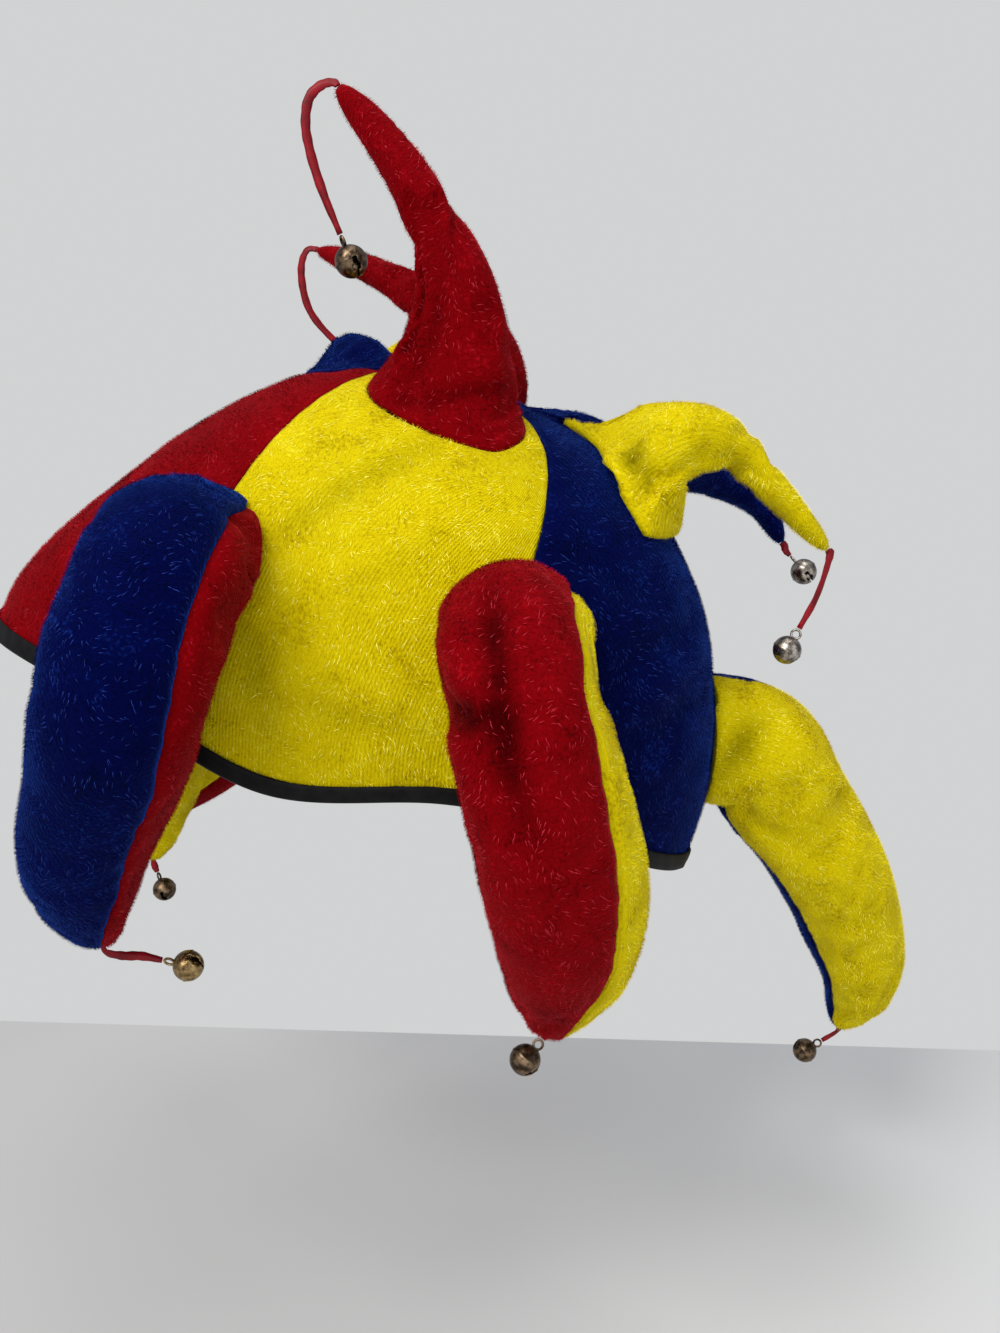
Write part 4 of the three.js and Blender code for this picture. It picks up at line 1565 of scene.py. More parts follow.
@dataclass(frozen=True)
class LowerHorn(Horn):
    """A horn sewn from two halves onto a seam of the crown.

    Args:
        left: What its left half is cut from.
        right: What its right half is cut from.
        climb: How far up the seam it is sewn.
        twist: How far its own seam turns down its length, in degrees.
        turns: The turns at shares of its length, where they aren't one steady turn to halfway.
        length: Root to tip.
        width: Across both halves.
        thickness: Through them.
        root: How far its centre line starts inside the crown.
        groove: How far the cloth dips at its seam.
        groove_width: How wide that dip is.
        pucker: How far it puckers beside the seam.
        pucker_width: How far the puckers reach.
        closing: Points of each ring across the flat side that closes a half.
        root_rings: How many rings at its root are moved out of the crown once more.
        root_reach: How deep these may be in it.
        columns: Steps round it.
        rings: Steps along it.
    """

    left: Cloth = Cloth.BLUE
    right: Cloth = Cloth.RED
    climb: float = 0.33
    twist: float = 0.0
    turns: Table = ()
    length: float = 180 * MM
    width: float = 55 * MM
    thickness: float = 46 * MM
    root: float = 14 * MM
    groove: float = 1.5 * MM
    groove_width: float = 2.2 * MM
    pucker: float = 0.3 * MM
    pucker_width: float = 5 * MM
    closing: int = 6
    root_rings: int = 12
    root_reach: float = 30 * MM
    columns: int = 56
    rings: int = 66
    girth: ClassVar[Table] = (
        (0, 0.74, 1.12), (0.09, 0.8, 1.1), (0.18, 0.92, 1.05), (0.28, 1, 1), (0.41, 1, 0.98),
        (0.55, 0.97, 0.96),
        (0.68, 0.9, 0.9), (0.79, 0.78, 0.8), (0.89, 0.58, 0.62), (0.96, 0.36, 0.4), (1, 0.12, 0.14),
    )

    def grid(self, crown: Crown) -> np.ndarray:
        """The horn's whole skin as rings of points that start on the crown, in the hat's frame.

        Args:
            crown: The crown's form.

        Returns:
            The rings.
        """
        turn = crown.seam(self.index, np.array([self.climb]))
        climb = np.array([self.climb])
        root = crown.point(turn, climb, 0.0)[0]
        out = crown.normal(turn, climb)[0]
        up = unit(crown.face(turn, climb + 0.01) - crown.face(turn, climb - 0.01))[0]
        route = np.vstack([root - out * self.root, root, root + np.array(self.route) * self.length])
        shares = np.linspace(0, 1, 2 * self.rings)
        places = Places.carry(route, shares, up)
        table = self.turns or ((0, 0), (0.5, self.twist), (1, self.twist))
        turned = np.radians(np.interp(shares, column(table, 0), column(table, 1)))[:, None]
        front = np.cos(turned) * places.front + np.sin(turned) * places.side
        side = np.cos(turned) * places.side - np.sin(turned) * places.front
        wide = read_table(self.girth, shares) * self.width / 2 * self.slim
        thick = read_table(self.girth, shares, 2) * self.thickness / 2 * self.slim
        angle = np.linspace(0, 2 * math.pi, self.columns, endpoint=False)
        rings = (
            places.point[:, None]
            + (thick[:, None] * np.cos(angle))[..., None] * front[:, None]
            + (wide[:, None] * np.sin(angle))[..., None] * side[:, None]
        )
        free = crown.outside(rings.reshape(-1, 3)).reshape(rings.shape[:2]) > 0.6 * MM
        out_rings = np.zeros((self.rings, self.columns, 3))
        for k in range(self.columns):
            hidden = np.flatnonzero(~free[: len(shares) // 2, k])
            start = shares[hidden[-1] + 1] if len(hidden) else 0.0
            at = start + (1 - start) * np.linspace(0, 1, self.rings)
            for axis in range(3):
                out_rings[:, k, axis] = np.interp(at, shares, rings[:, k, axis])
        return crown.to_row(out_rings.reshape(-1, 3)).reshape(out_rings.shape)

    def build(
        self, crown: Crown, dyes: dict[Cloth, bpy.types.Material], clear: Clearance
    ) -> list[bpy.types.Object]:
        """Makes the horn's two halves.

        Args:
            crown: The crown's form.
            dyes: The velours.
            clear: Keeps it off its neighbours.

        Returns:
            The two pieces.
        """
        grid = self.grid(crown)
        whole = new_object("whole_horn", ring_mesh(grid, grid[0].mean(0), grid[-1].mean(0)), dyes[self.left])
        count, wide = grid.shape[:2]
        level = np.interp(np.arange(count), [0, 1, 6, count - 3, count - 1], [1, 1, 0, 0, 1])
        held = np.concatenate([np.repeat(np.round(level, 2), wide), [1, 1]])
        Stuffing(spare=0.06).swell(whole, held)
        co, out = coords(whole.data)
        # painted shade: the creases' depth is stored for the velour to darken them, and handed to each half
        # below
        hollow = np.clip(-self.creased(co, out)[:-2] / DEEP, 0, 1).reshape(count, wide)
        co = self.wrinkle(co, out, np.clip(1 - held, 0, 1))
        run = np.linspace(0, 1, count)[:, None] * self.length
        angle = np.arange(wide) / wide * 2 * math.pi
        edge = np.abs(np.sin(angle))[None, :] * self.width / 2
        pucker = self.pucker * np.sin(run / (1.7 * MM) + 2.0 * np.sin(run / (9 * MM)))
        groove = -self.groove * np.exp(-((edge / self.groove_width) ** 2))
        groove = groove + pucker * np.exp(-((edge / self.pucker_width) ** 2))
        groove = groove * np.clip(1 - np.linspace(0, 1, count)[:, None] ** 8, 0, 1)
        skin = co[:-2] + out[:-2] * groove.reshape(-1, 1)
        skin = clear.push(skin).reshape(count, wide, 3)
        bpy.data.objects.remove(whole)
        made = []
        half = wide // 2
        for name, cloth, picks in (
            ("left_half", self.left, np.arange(0, half + 1)),
            ("right_half", self.right, np.append(np.arange(half, wide), 0)),
        ):
            piece = self.half(name, cloth, skin[:, picks], dyes[cloth], clear)
            ring = len(picks) + self.closing
            rows = len(piece.data.vertices) // ring
            shade = np.zeros((rows, ring))
            shade[-count:, : len(picks)] = hollow[:, picks]
            set_attribute(piece.data, "hollow", np.append(shade.ravel(), np.zeros(2)))
            made.append(piece)
        return made

    def half(
        self, name: str, cloth: Cloth, skin: np.ndarray, dye: bpy.types.Material, clear: Clearance
    ) -> bpy.types.Object:
        """Makes one half, closed by the seam's plane.

        Args:
            name: Which half.
            cloth: What it is cut from.
            skin: Its rings of outer points.
            dye: Its velour.
            clear: Keeps its closed side off its neighbours.

        Returns:
            The piece.
        """
        first, last = skin[:, 0], skin[:, -1]
        inward = unit(skin[:, skin.shape[1] // 2] - (first + last) / 2)
        steps = np.linspace(0, 1, self.closing + 2)[1:-1]
        wall = [last + (first - last) * t for t in steps]
        rings = np.concatenate([skin, np.stack(wall, 1)], 1)
        seam = np.zeros(rings.shape[1])
        seam[[0, skin.shape[1] - 1]] = 1
        seam[skin.shape[1]:] = 1
        rings = rings + (seam[None, :, None] * 0.15 * MM) * inward[:, None, :]
        centre = rings[0].mean(0)
        caps = [centre + (rings[0] - centre) * k for k in (0.1, 0.4, 0.7, 0.9)]
        rings = np.concatenate([np.stack(caps), rings])
        root = rings[: self.root_rings]
        rings[: self.root_rings] = clear.push(root.reshape(-1, 3), self.root_reach).reshape(root.shape)
        start = clear.push(centre[None], self.root_reach)[0]
        mesh = ring_mesh(rings, start, rings[-1].mean(0))
        obj = new_object(f"lower_horn_{self.name}_{name}_cloth", mesh, dye)
        mask = np.zeros(rings.shape[:2])
        from_seam = np.minimum(np.arange(skin.shape[1]), np.arange(skin.shape[1])[::-1])
        mask[len(caps):, : skin.shape[1]] = np.clip(0.3 + 0.35 * from_seam, 0, 1)
        mask = np.append(mask.ravel(), [0, 1])
        across = np.broadcast_to(np.arange(rings.shape[1]) * 2.6 * MM, rings.shape[:2])
        along = np.broadcast_to(np.linspace(0, 1, len(rings))[:, None] * self.length, rings.shape[:2])
        set_course(mesh, across, along)
        co, _ = coords(mesh)
        shown = mask > 0
        mask[shown] *= np.maximum(clear.bare(co[shown]), WORN)
        return self.finish(obj, f"lower_horn_{self.name}_{name}", cloth, mask)


# Ribbons and bells


@dataclass(frozen=True)
class Ribbon:
    """A narrow satin ribbon from a horn's tip to its bell.

    Args:
        name: Which horn it hangs from.
        route: Points of its middle line in millimetres, from the tip.
        width: Its width.
        thickness: Its thickness.
        free: Whether it is long enough to count as a cord. Not used.
        twist: How far it turns to and fro, in radians.
        sides: Corners of its section.
    """

    name: str
    route: Table
    width: float = 3 * MM
    thickness: float = 0.7 * MM
    free: bool = False
    twist: float = 0.5
    sides: int = 12

    def line(self) -> np.ndarray:
        """The ribbon's middle line.

        Returns:
            Points along it in metres.
        """
        return catmull(np.array(self.route, float) * MM, 6)

    def build(self, material: bpy.types.Material) -> bpy.types.Object:
        """Makes the ribbon.

        Args:
            material: Its satin.

        Returns:
            The piece.
        """
        line = self.line()
        way = unit(np.gradient(line, axis=0))
        facing = np.array([0.0, 1.0, 0.0])
        verts: list[Row] = []
        count, sides = len(line), self.sides
        for i, (p, t) in enumerate(zip(line, way)):
            facing = facing - (facing @ t) * t
            facing /= np.linalg.norm(facing)
            across = np.cross(t, facing)
            share = i / (count - 1)
            twist = self.twist * math.sin(share * 5 + len(self.name))
            a = math.cos(twist) * across + math.sin(twist) * facing
            f = math.cos(twist) * facing - math.sin(twist) * across
            at_bell = 0.35 * math.exp(-(((share - 1) / 0.12) ** 2))
            at_horn = 0.25 * math.exp(-((share / 0.08) ** 2))
            pinch = 1 - at_bell - at_horn
            ripple = 1 + 0.06 * math.sin(i * 1.7 + len(self.name))
            for k in range(sides):
                angle = 2 * math.pi * k / sides
                u = math.cos(angle) * self.width / 2 * pinch * ripple
                v = math.sin(angle) * self.thickness / 2 / max(pinch, 0.5)
                cup = 0.12 * self.width * (math.cos(angle) ** 2 - 0.5)
                verts.append(tuple(p + a * u + f * (v + cup)))
        faces = []
        for i in range(count - 1):
            for k in range(sides):
                n = (k + 1) % sides
                faces.append((i * sides + k, i * sides + n, (i + 1) * sides + n, (i + 1) * sides + k))
        faces.append(tuple(range(sides))[::-1])
        faces.append(tuple((count - 1) * sides + k for k in range(sides)))
        mesh = outward_mesh("ribbon", verts, faces)
        obj = new_object(f"ribbon_{self.name}_satin", mesh, material)
        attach(obj, "root")
        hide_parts(f"ribbon_{self.name}")
        return obj


@dataclass(frozen=True)
class Bell:
    """A round jingle bell: two pressed halves with a ridge, a slit, two holes and a loop.

    Args:
        name: Which horn it hangs from.
        metal: How it has aged.
        diameter: Across the ball.
        turn: How far it has turned on its ribbon, in degrees.
        ridge: How far the halves' join stands out, as a share of the radius.
        plate: The thickness of its metal.
        clapper: The radius of the loose ball inside.
        loop: The radius of its loop.
        wire: The radius of the loop's wire.
        sunk: How deep the loop is set in the ball.
        tie: The gap between ribbon and loop.
    """

    name: str
    metal: Metal
    diameter: float = 10.2 * MM
    turn: float = 0.0
    ridge: float = 0.045
    plate: float = 0.5 * MM
    clapper: float = 2.2 * MM
    loop: float = 1.6 * MM
    wire: float = 0.45 * MM
    sunk: float = 0.8 * MM
    tie: float = 0.3 * MM

    def build(self, end: np.ndarray, down: np.ndarray, material: bpy.types.Material) -> bpy.types.Object:
        """Makes the bell at a ribbon's end.

        Args:
            end: The ribbon's end.
            down: The direction it hangs in.
            material: Its metal.

        Returns:
            The piece.
        """
        radius = self.diameter / 2
        work = bmesh.new()
        bmesh.ops.create_uvsphere(work, u_segments=40, v_segments=28, radius=radius)
        for v in work.verts:
            v.co *= 1 + self.ridge * math.exp(-((v.co.z / (0.35 * MM)) ** 2))
        holes = [f for f in work.faces if self.is_open(f.calc_center_median(), radius)]
        bmesh.ops.delete(work, geom=holes, context="FACES")
        mesh = bpy.data.meshes.new("bell")
        work.to_mesh(mesh)
        work.free()
        obj = new_object(f"bell_{self.name}_metal", mesh, material)
        shell = obj.modifiers.new("shell", "SOLIDIFY")
        shell.thickness = self.plate
        shell.offset = -1
        settle(obj)
        work = bmesh.new()
        work.from_mesh(obj.data)
        self.add_loop(work, radius)
        rests = Matrix.Translation((0.6 * MM, 0, -1.9 * MM))
        bmesh.ops.create_icosphere(work, subdivisions=2, radius=self.clapper, matrix=rests)
        bmesh.ops.recalc_face_normals(work, faces=work.faces)
        hang = Vector(down).normalized()
        turn = hang.to_track_quat("-Z", "Y").to_matrix().to_4x4()
        spin = Matrix.Rotation(math.radians(self.turn), 4, "Z")
        reach = self.tie + 2 * (self.loop + self.wire) - self.sunk + radius
        centre = Vector(end) + hang * reach
        work.transform(Matrix.Translation(centre) @ turn @ spin)
        work.to_mesh(obj.data)
        work.free()
        obj.data.shade_smooth()
        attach(obj, "root")
        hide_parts(f"bell_{self.name}")
        return obj

    @staticmethod
    def is_open(at: Vector, radius: float) -> bool:
        """Whether a place on the ball is in its slit or one of the holes at its ends.

        Args:
            at: The place.
            radius: The ball's radius.

        Returns:
            True in an opening.
        """
        low = at.z < -0.12 * radius
        slit = abs(at.y) < 0.5 * MM and low
        ends = math.hypot(abs(at.x) - 0.86 * radius, at.y) < 1.15 * MM and at.z < 0.1 * radius
        return slit or (ends and at.z > -0.85 * radius)

    def add_loop(self, work: bmesh.types.BMesh, radius: float) -> None:
        """Adds the wire loop above the ball.

        Args:
            work: The bell's mesh.
            radius: The ball's radius.
        """
        around, sides = 20, 8
        centre = radius + self.loop + self.wire - self.sunk
        rings = []
        for i in range(around):
            a = 2 * math.pi * i / around
            ring = []
            for k in range(sides):
                b = 2 * math.pi * k / sides
                r = self.loop + self.wire * math.cos(b)
                corner = (r * math.cos(a), self.wire * math.sin(b), centre + r * math.sin(a))
                ring.append(work.verts.new(corner))
            rings.append(ring)
        for i in range(around):
            for k in range(sides):
                here, there = rings[i], rings[(i + 1) % around]
                n = (k + 1) % sides
                work.faces.new((here[k], here[n], there[n], there[k]))


# Rim binding


@dataclass(frozen=True)
class Binding:
    """Satin folded round the rim, wrinkled where it takes the curve.

    Args:
        height: How far it comes up the cloth.
        wall: The satin's thickness with its fold.
        gap: How far it stays off the cloth.
        floor: The thickness of its fold below the rim.
        ripple: How high its wrinkles are.
        sway: How far its edge goes up and down.
        steps: How many steps it takes round the rim.
    """

    height: float = 7 * MM
    wall: float = 0.9 * MM
    gap: float = 0.3 * MM
    floor: float = 1.2 * MM
    ripple: float = 0.16 * MM
    sway: float = 0.12 * MM
    steps: int = 540

    def build(self, crown: Crown, material: bpy.types.Material) -> bpy.types.Object:
        """Makes the binding.

        Args:
            crown: The crown's form.
            material: Its satin.

        Returns:
            The piece.
        """
        gap, floor, wall = self.gap, self.floor, self.wall
        top = self.height - floor - gap
        cloth = crown.wall
        inner = -cloth - gap
        outer = [
            (gap, top - 0.3 * MM), (gap + 0.5 * wall, top), (gap + wall, top - 0.5 * MM),
            (gap + 1.15 * wall, top * 0.6), (gap + 1.1 * wall, top * 0.2),
            (gap + 0.9 * wall, -gap - 0.2 * floor),
            (gap + 0.2 * wall, -gap - 0.75 * floor), (-cloth / 2, -gap - floor),
            (inner - 0.2 * wall, -gap - 0.75 * floor), (inner - 0.9 * wall, -gap - 0.2 * floor),
            (inner - wall, top * 0.5), (inner - 0.5 * wall, top),
            (inner, top - 0.3 * MM), (inner, -gap), (gap, -gap),
        ]
        turn = np.linspace(-26, 334, self.steps, endpoint=False)
        face = crown.face(turn, 0)
        out = crown.normal(turn, np.zeros(self.steps))
        up = unit(crown.face(turn, 0.02) - face)
        place = crown.to_row(face)
        along = np.cumsum(np.linalg.norm(np.roll(place, -1, 0) - place, axis=1))
        slow = value_noise(place, 0.02, 3)
        points = []
        for k, (aside, rise) in enumerate(outer):
            show = 1.0 if 1 <= k <= 5 or 9 <= k <= 11 else 0.0
            slant = along + rise * 0.8
            ripple = np.sin(slant / 0.0016 + 2.5 * slow) * (0.5 + 0.5 * np.sin(along / 0.013 + 5 * slow))
            sign = 1.0 if aside > -cloth / 2 else -1.0
            reach = aside + sign * (self.ripple * ripple * show)
            level = rise + self.sway * slow * show
            points.append(crown.to_row(face + out * reach[:, None] + up * level[:, None]))
        grid = np.stack(points, 1)
        wide = len(outer)
        index = np.arange(self.steps * wide).reshape(self.steps, wide)
        after = np.roll(index, -1, 0)
        beside, both = np.roll(index, -1, 1), np.roll(after, -1, 1)
        faces = np.stack([index, beside, both, after], -1).reshape(-1, 4)
        mesh = outward_mesh("binding", grid.reshape(-1, 3).tolist(), faces.tolist())
        obj = new_object("rim_binding_satin", mesh, material)
        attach(obj, "root")
        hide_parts("rim_binding")
        return obj


# The hat


def hanger(
    name: str, metal: Metal, turn: float, route: Table, free: bool = False
) -> tuple[Ribbon, Bell]:
    """A ribbon with its bell.

    Args:
        name: Which horn they hang from.
        metal: How the bell has aged.
        turn: How far the bell has turned, in degrees.
        route: The ribbon's middle line in millimetres.
        free: Whether the ribbon counts as a cord.

    Returns:
        The ribbon and the bell.
    """
    return Ribbon(name, route, free=free), Bell(name, metal, turn=turn)


PLAIN_ARCH = ((0, 0.95), (0.2, 0.8), (0.5, 0.72), (0.8, 0.8), (1, 0.95))
FRONT_ARCH = ((0, 0.95), (0.12, 0.83), (0.35, 0.77), (0.75, 0.76), (0.9, 0.83), (1, 0.95))
RIGHT_ARCH = ((0, 0.985), (0.5, 0.985), (1, 0.985))
BACK_RIGHT_ARCH = ((0, 0.95), (0.2, 0.77), (0.5, 0.67), (0.8, 0.75), (1, 0.95))
LEFT_ARCH = ((0, 0.95), (0.25, 0.83), (0.5, 0.79), (0.75, 0.83), (1, 0.95))
GORES = (
    Gore("front", 0, Cloth.YELLOW, FRONT_ARCH, (
        Fold((-59.5, -61.0, -46.3), (-36.1, -57.8, -29.9), 5, -1.1),
        Fold((-36.1, -57.8, -29.9), (-11.8, -49.7, -17.3), 5, -1.1),
        Fold((-40.0, -66.5, -59.2), (-19.1, -65.0, -46.7), 5, 0.9),
        Fold((-19.1, -65.0, -46.7), (1.9, -59.5, -37.3), 5, 0.9),
        Fold((-53.5, -66.8, -93.3), (-10.8, -65.1, -107.1), 5, -0.8),
        Fold((-65.4, -64.8, -74.9), (-62.7, -65.2, -100.0), 6, -1.2),
    )),
    Gore("right", 1, Cloth.BLUE, RIGHT_ARCH, (
        Fold((52.0, -53.0, -84.0), (76.0, -28.0, -76.0), 4.5, -1.3),
        Fold((53.3, -51.0, -98.7), (78.8, -24.6, -87.8), 4.5, 1.3),
        Fold((55.7, -48.6, -109.3), (79.9, -25.3, -102.6), 4.5, -1.3),
        Fold((57.0, -45.6, -123.7), (80.6, -24.3, -118.4), 4.5, 1.2),
        Fold((31.4, -56.1, -51.4), (55.8, -44.2, -62.6), 5, -1.0),
    )),
    Gore("back_right", 2, Cloth.RED, BACK_RIGHT_ARCH),
    Gore("back", 3, Cloth.YELLOW, PLAIN_ARCH),
    Gore("back_left", 4, Cloth.BLUE, PLAIN_ARCH),
    Gore("left", 5, Cloth.RED, LEFT_ARCH),
)
UPPER = (
    UpperHorn("front", 0, (
        (-0.04, -0.08, 0.17), (-0.1, -0.13, 0.33), (-0.22, -0.15, 0.47), (-0.36, -0.13, 0.58),
        (-0.51, -0.1, 0.67),
    ), (
        Fold((-22.8, -40.1, -2.9), (-10.0, -45.3, -3.8), 2.6, -1.8),
        Fold((-10.0, -45.3, -3.8), (13.5, -39.0, 1.4), 2.6, -1.8),
        Fold((-8.3, -47.4, 30.8), (-12.3, -44.9, 13.3), 3.5, -1.5),
        Fold((-12.3, -44.9, 13.3), (-20.8, -41.1, -0.1), 3.5, -1.5),
        Fold((1.9, -47.6, 26.4), (8.5, -44.6, 5.9), 5, 1.0),
    ), cloth=Cloth.RED),
    UpperHorn("right", 1, (
        (0.077, -0.013, 0.113), (0.165, -0.009, 0.169), (0.291, 0.021, 0.167), (0.449, 0.054, 0.095),
        (0.657, 0.076, -0.013),
    ), (
        Fold((50.6, -27.9, -10.3), (57.0, -24.0, -31.0), 4.0, -3.6),
        Fold((43.6, -25.3, -12.7), (49.6, -28.3, -31.9), 5, 1.2),
    ), cloth=Cloth.YELLOW, fullness=0.92, base=(
        (0.342, 0.829), (0.33, 0.742), (0.374, 0.664), (0.473, 0.666), (0.695, 0.681),
        (0.88, 0.74), (0.985, 0.84), (0.985, 0.925), (0.8, 0.925), (0.586, 0.898),
    )),
    UpperHorn("back_right", 2, (
        (0.19, 0.08, 0.02), (0.37, 0.16, 0.055), (0.55, 0.24, 0.065), (0.71, 0.29, 0.03),
        (0.82, 0.31, -0.06),
    ), cloth=Cloth.BLUE, fullness=1.15),
    UpperHorn("back", 3, (
        (-0.07, 0.03, 0.16), (-0.21, 0.12, 0.25), (-0.37, 0.24, 0.3), (-0.55, 0.37, 0.33),
        (-0.71, 0.5, 0.34),
    ), cloth=Cloth.RED, fullness=0.85),
    UpperHorn("back_left", 4, (
        (-0.02, 0.1, 0.05), (0.01, 0.23, 0.05), (0.07, 0.35, -0.02), (0.14, 0.44, -0.13), (0.2, 0.5, -0.26),
    ), cloth=Cloth.YELLOW, fullness=0.7),
    UpperHorn("left", 5, (
        (-0.085, 0.1, 0.01), (-0.165, 0.22, -0.02), (-0.23, 0.34, -0.09), (-0.3, 0.43, -0.2),
        (-0.35, 0.49, -0.33),
    ), cloth=Cloth.BLUE, fullness=0.55),
)
LOWER = (
    LowerHorn("front_left", 0, (
        (-0.01, -0.13, -0.01), (-0.01, -0.195, -0.11), (0, -0.195, -0.24),
        (0, -0.15, -0.36), (-0.01, -0.09, -0.53), (0.03, -0.01, -0.73),
    ), left=Cloth.BLUE, right=Cloth.RED, climb=0.33, turns=((0, -4), (0.4, -26), (0.8, -30), (1, 2))),
    LowerHorn("front_right", 1, (
        (0.01, -0.12, 0), (0.05, -0.19, -0.08), (0.11, -0.2, -0.18),
        (0.19, -0.17, -0.31), (0.25, -0.11, -0.45), (0.29, 0, -0.65),
    ), (
        Fold((8.8, -100.1, -57.0), (10.5, -118.4, -75.4), 3.6, -4.2),
        Fold((10.5, -118.4, -75.4), (14.1, -126.2, -100.5), 4.0, -4.4),
        Fold((14.1, -126.2, -100.5), (19.5, -126.2, -117.1), 4.6, -2.2),
        Fold((-9.0, -98.0, -88.0), (-1.0, -115.0, -85.0), 4.2, -6.0),
        Fold((-4.5, -111.6, -85.2), (11.0, -123.2, -86.2), 3.8, -5.0),
        Fold((-4.6, -96.4, -62.5), (-0.6, -112.2, -76.1), 8, 3.0),
        Fold((27.2, -108.0, -66.7), (33.8, -116.2, -92.4), 6, 1.0),
    ), left=Cloth.RED, right=Cloth.YELLOW, climb=0.37, turns=(
        (0, -34), (0.3, -34), (0.5, -24), (0.7, -8), (1, 10),
    )),
    LowerHorn("right", 2, (
        (0.11, 0.03, 0), (0.23, 0.09, -0.09), (0.39, 0.16, -0.22),
        (0.52, 0.22, -0.36), (0.61, 0.26, -0.49), (0.64, 0.29, -0.63),
    ), (
        Fold((103.0, -6.6, -115.9), (90.5, -10.2, -134.5), 5.5, -2.6),
        Fold((119.4, -6.2, -133.9), (139.5, 6.6, -173.1), 9, 1.2),
    ), left=Cloth.YELLOW, right=Cloth.BLUE, climb=0.24),
    LowerHorn("back_right", 3, (
        (0.06, 0.13, 0), (0.11, 0.23, -0.09), (0.16, 0.28, -0.24),
        (0.21, 0.3, -0.42), (0.26, 0.29, -0.6), (0.29, 0.25, -0.76),
    ), left=Cloth.BLUE, right=Cloth.RED, climb=0.34),
    LowerHorn("back_left", 4, (
        (-0.02, 0.13, 0), (-0.05, 0.24, -0.11), (-0.09, 0.32, -0.29),
        (-0.14, 0.37, -0.5), (-0.21, 0.39, -0.71), (-0.31, 0.37, -0.91),
    ), left=Cloth.RED, right=Cloth.YELLOW, climb=0.34, twist=-35),
    LowerHorn("left", 5, (
        (0.01, 0.12, -0.02), (0.03, 0.2, -0.12), (0.05, 0.25, -0.28),
        (0.07, 0.27, -0.45), (0.1, 0.28, -0.63), (0.14, 0.27, -0.8),
    ), left=Cloth.YELLOW, right=Cloth.BLUE, climb=0.22),
)
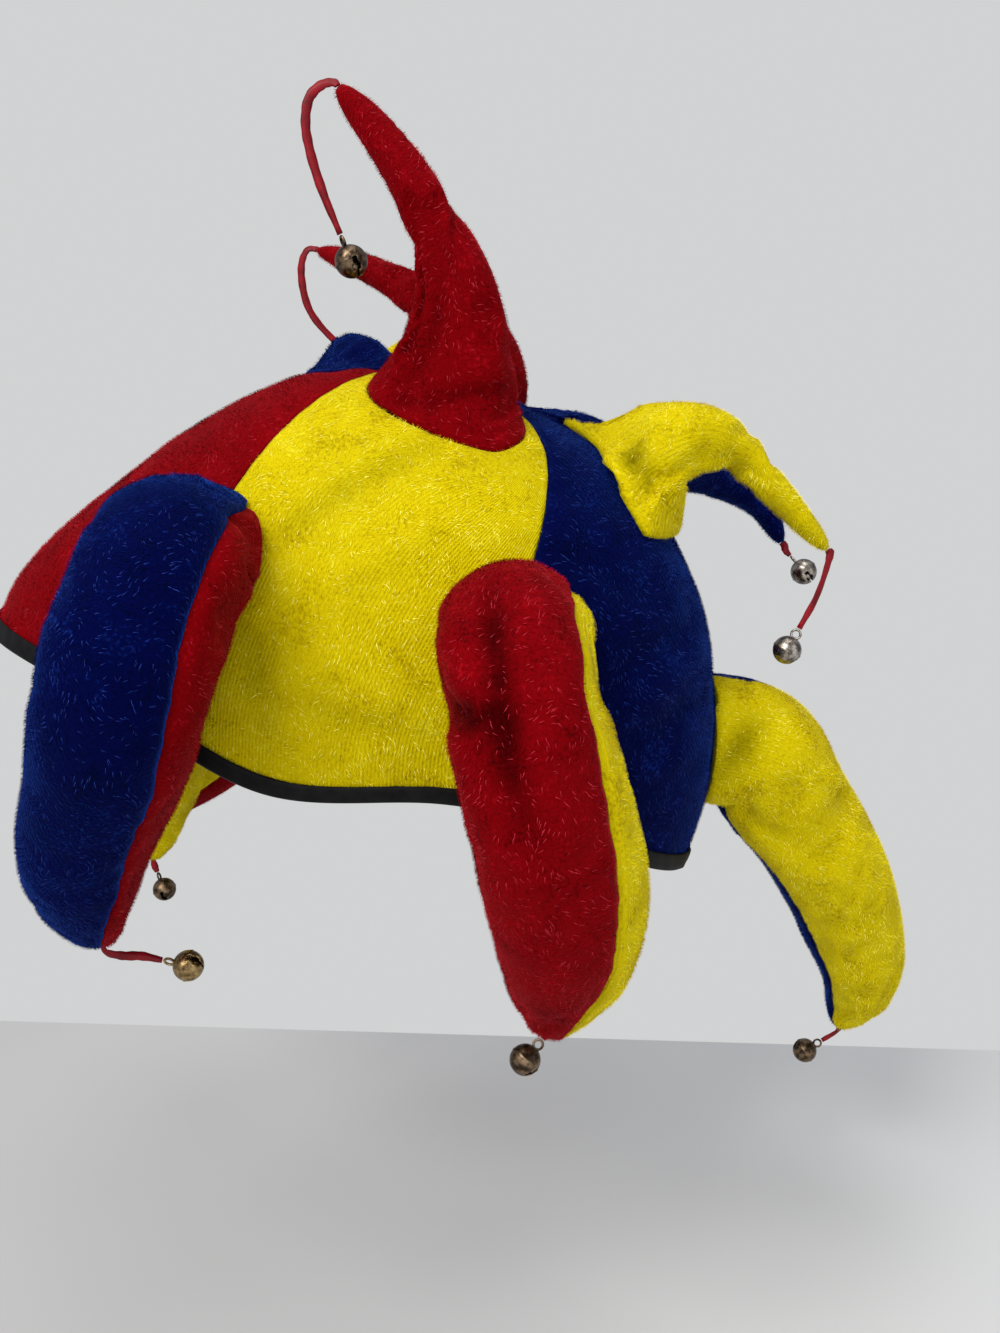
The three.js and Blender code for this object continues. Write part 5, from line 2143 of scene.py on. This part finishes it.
HANGERS = (
    hanger("upper_front", Metal.BRONZE, 20, (
        (-37.8, -36.3, 89.2), (-38.8, -36, 90.3), (-42.3, -36, 89.8), (-46.3, -36, 86.3),
        (-47.8, -36, 79.3), (-46.8, -36, 71.3), (-43.3, -36, 59.3), (-38.3, -36, 46.8),
    ), free=True),
    hanger("upper_right", Metal.NICKEL, 70, (
        (126, -2.5, -54.6), (127, -2.2, -55.7), (126.5, -2.2, -59.7), (123, -2.2, -71.7),
        (117.5, -2.2, -82.7),
    ), free=True),
    hanger("upper_back_right", Metal.NICKEL, 0, (
        (122.4, 53.4, -58.2), (123.4, 53.6, -59.3), (124.2, 53.6, -61.3), (125.9, 53.6, -63.3),
    )),
    hanger("upper_back", Metal.NICKEL, 40, (
        (-62.0, 85.3, 55.9), (-63.1, 86.2, 56.3), (-66.1, 86.2, 56.3), (-68.6, 86.2, 52.3),
        (-69.1, 86.2, 44.3), (-66.1, 86.2, 32.3), (-57.1, 86.2, 21.3), (-47.6, 86.2, 14.3),
    ), free=True),
    hanger("upper_back_left", Metal.BRASS, 0, (
        (-8.3, 80, -37), (-8.1, 80.6, -38.4), (-8.1, 81.6, -42.4), (-8.1, 82.1, -52.4),
    )),
    hanger("upper_left", Metal.BRONZE, 0, (
        (-80, 56.8, -18.8), (-80.9, 57.4, -19.9), (-82.9, 58.4, -21.9), (-84.9, 59.4, -27.9),
    )),
    hanger("lower_front_left", Metal.BRASS, 60, (
        (-120.0, -57.5, -177.1), (-120.1, -57.0, -178.4), (-118.6, -57.5, -180.9),
        (-113.1, -58.0, -181.9), (-107.1, -58.0, -181.9), (-100.1, -58.0, -183.4),
    )),
    hanger("lower_front_right", Metal.BRONZE, 30, (
        (27.1, -65.3, -203.0), (27.0, -64.5, -204.3), (26.7, -64.8, -205.8), (25.0, -65.8, -207.5),
    )),
    hanger("lower_right", Metal.BRONZE, 80, (
        (159.9, 61.7, -270.4), (159.7, 62, -271.8), (158.2, 62, -273.8), (152.2, 62, -277.8),
    )),
    hanger("lower_back_right", Metal.BRASS, 0, (
        (34.1, 106.7, -233.7), (33.9, 106.3, -235.2), (33.9, 106.3, -239.2), (33.9, 107.3, -249.2),
    )),
    hanger("lower_back_left", Metal.BRONZE, 0, (
        (-156.9, 132.3, -198.7), (-157.9, 132.2, -199.8), (-157.1, 132.2, -201.8),
        (-155.9, 132.2, -203.8),
    )),
    hanger("lower_left", Metal.BRONZE, 0, (
        (-144.1, 89.1, -203.5), (-144.2, 89.0, -205.0), (-143.7, 89.0, -207.0),
        (-142.7, 89.0, -210.0),
    )),
)


@dataclass
class JesterHat:
    """The whole hat, built sub-assembly by sub-assembly.

    Args:
        crown: The crown's form.
        pile: The velour's nap.
    """

    crown: Crown
    pile: Pile

    def hang_bells(self) -> None:
        """Makes the ribbons and the bells on them."""
        satin = SATIN_RED.build()
        metals = {metal: finish.build() for metal, finish in METALS.items()}
        for ribbon, bell in HANGERS:
            band = ribbon.build(satin)
            line = ribbon.line()
            ball = bell.build(line[-1], line[-1] - line[-2], metals[bell.metal])
        LOG.info("ribbons and bells are made")

    def dress(self) -> None:
        """Makes the gores, the horns and the binding, and grows the velour's pile."""
        dyes = {cloth: finish.build() for cloth, finish in VELOURS.items()}
        made: list[tuple[Cloth, bpy.types.Object]] = []
        clear = Clearance(0.35 * MM, [])
        Binding().build(self.crown, SATIN_BLACK.build())
        for gore in GORES:
            obj = gore.build(self.crown, dyes[gore.cloth])
            clear.add(obj, closed=False)
            made.append((gore.cloth, obj))
        for horn in UPPER:
            obj = horn.build(self.crown, GORES[horn.index].arch, dyes[horn.cloth], clear)
            clear.add(obj, closed=True)
            made.append((horn.cloth, obj))
        for horn in LOWER:
            halves = horn.build(self.crown, dyes, clear)
            for cloth, obj in zip((horn.left, horn.right), halves):
                clear.add(obj, closed=True)
                made.append((cloth, obj))
        LOG.info("cloth pieces are made")
        strand = self.pile.strand()
        trees = {cloth: self.pile.group(strand, dye) for cloth, dye in dyes.items()}
        for seed, (cloth, obj) in enumerate(made):
            nap = self.pile.grow(obj, trees[cloth], SEED + seed)
        LOG.info("pile is grown")


def main() -> None:
    """Builds the scene in order: camera, ribbons and bells, cloth, floor and light."""
    logging.basicConfig(level=logging.INFO, format="%(message)s")
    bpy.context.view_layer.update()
    studio = Studio()
    studio.place_camera()
    hat = JesterHat(Crown(), Pile())
    hat.hang_bells()
    hat.dress()
    studio.build_floor()
    studio.light()


if __name__ == "__main__":
    main()
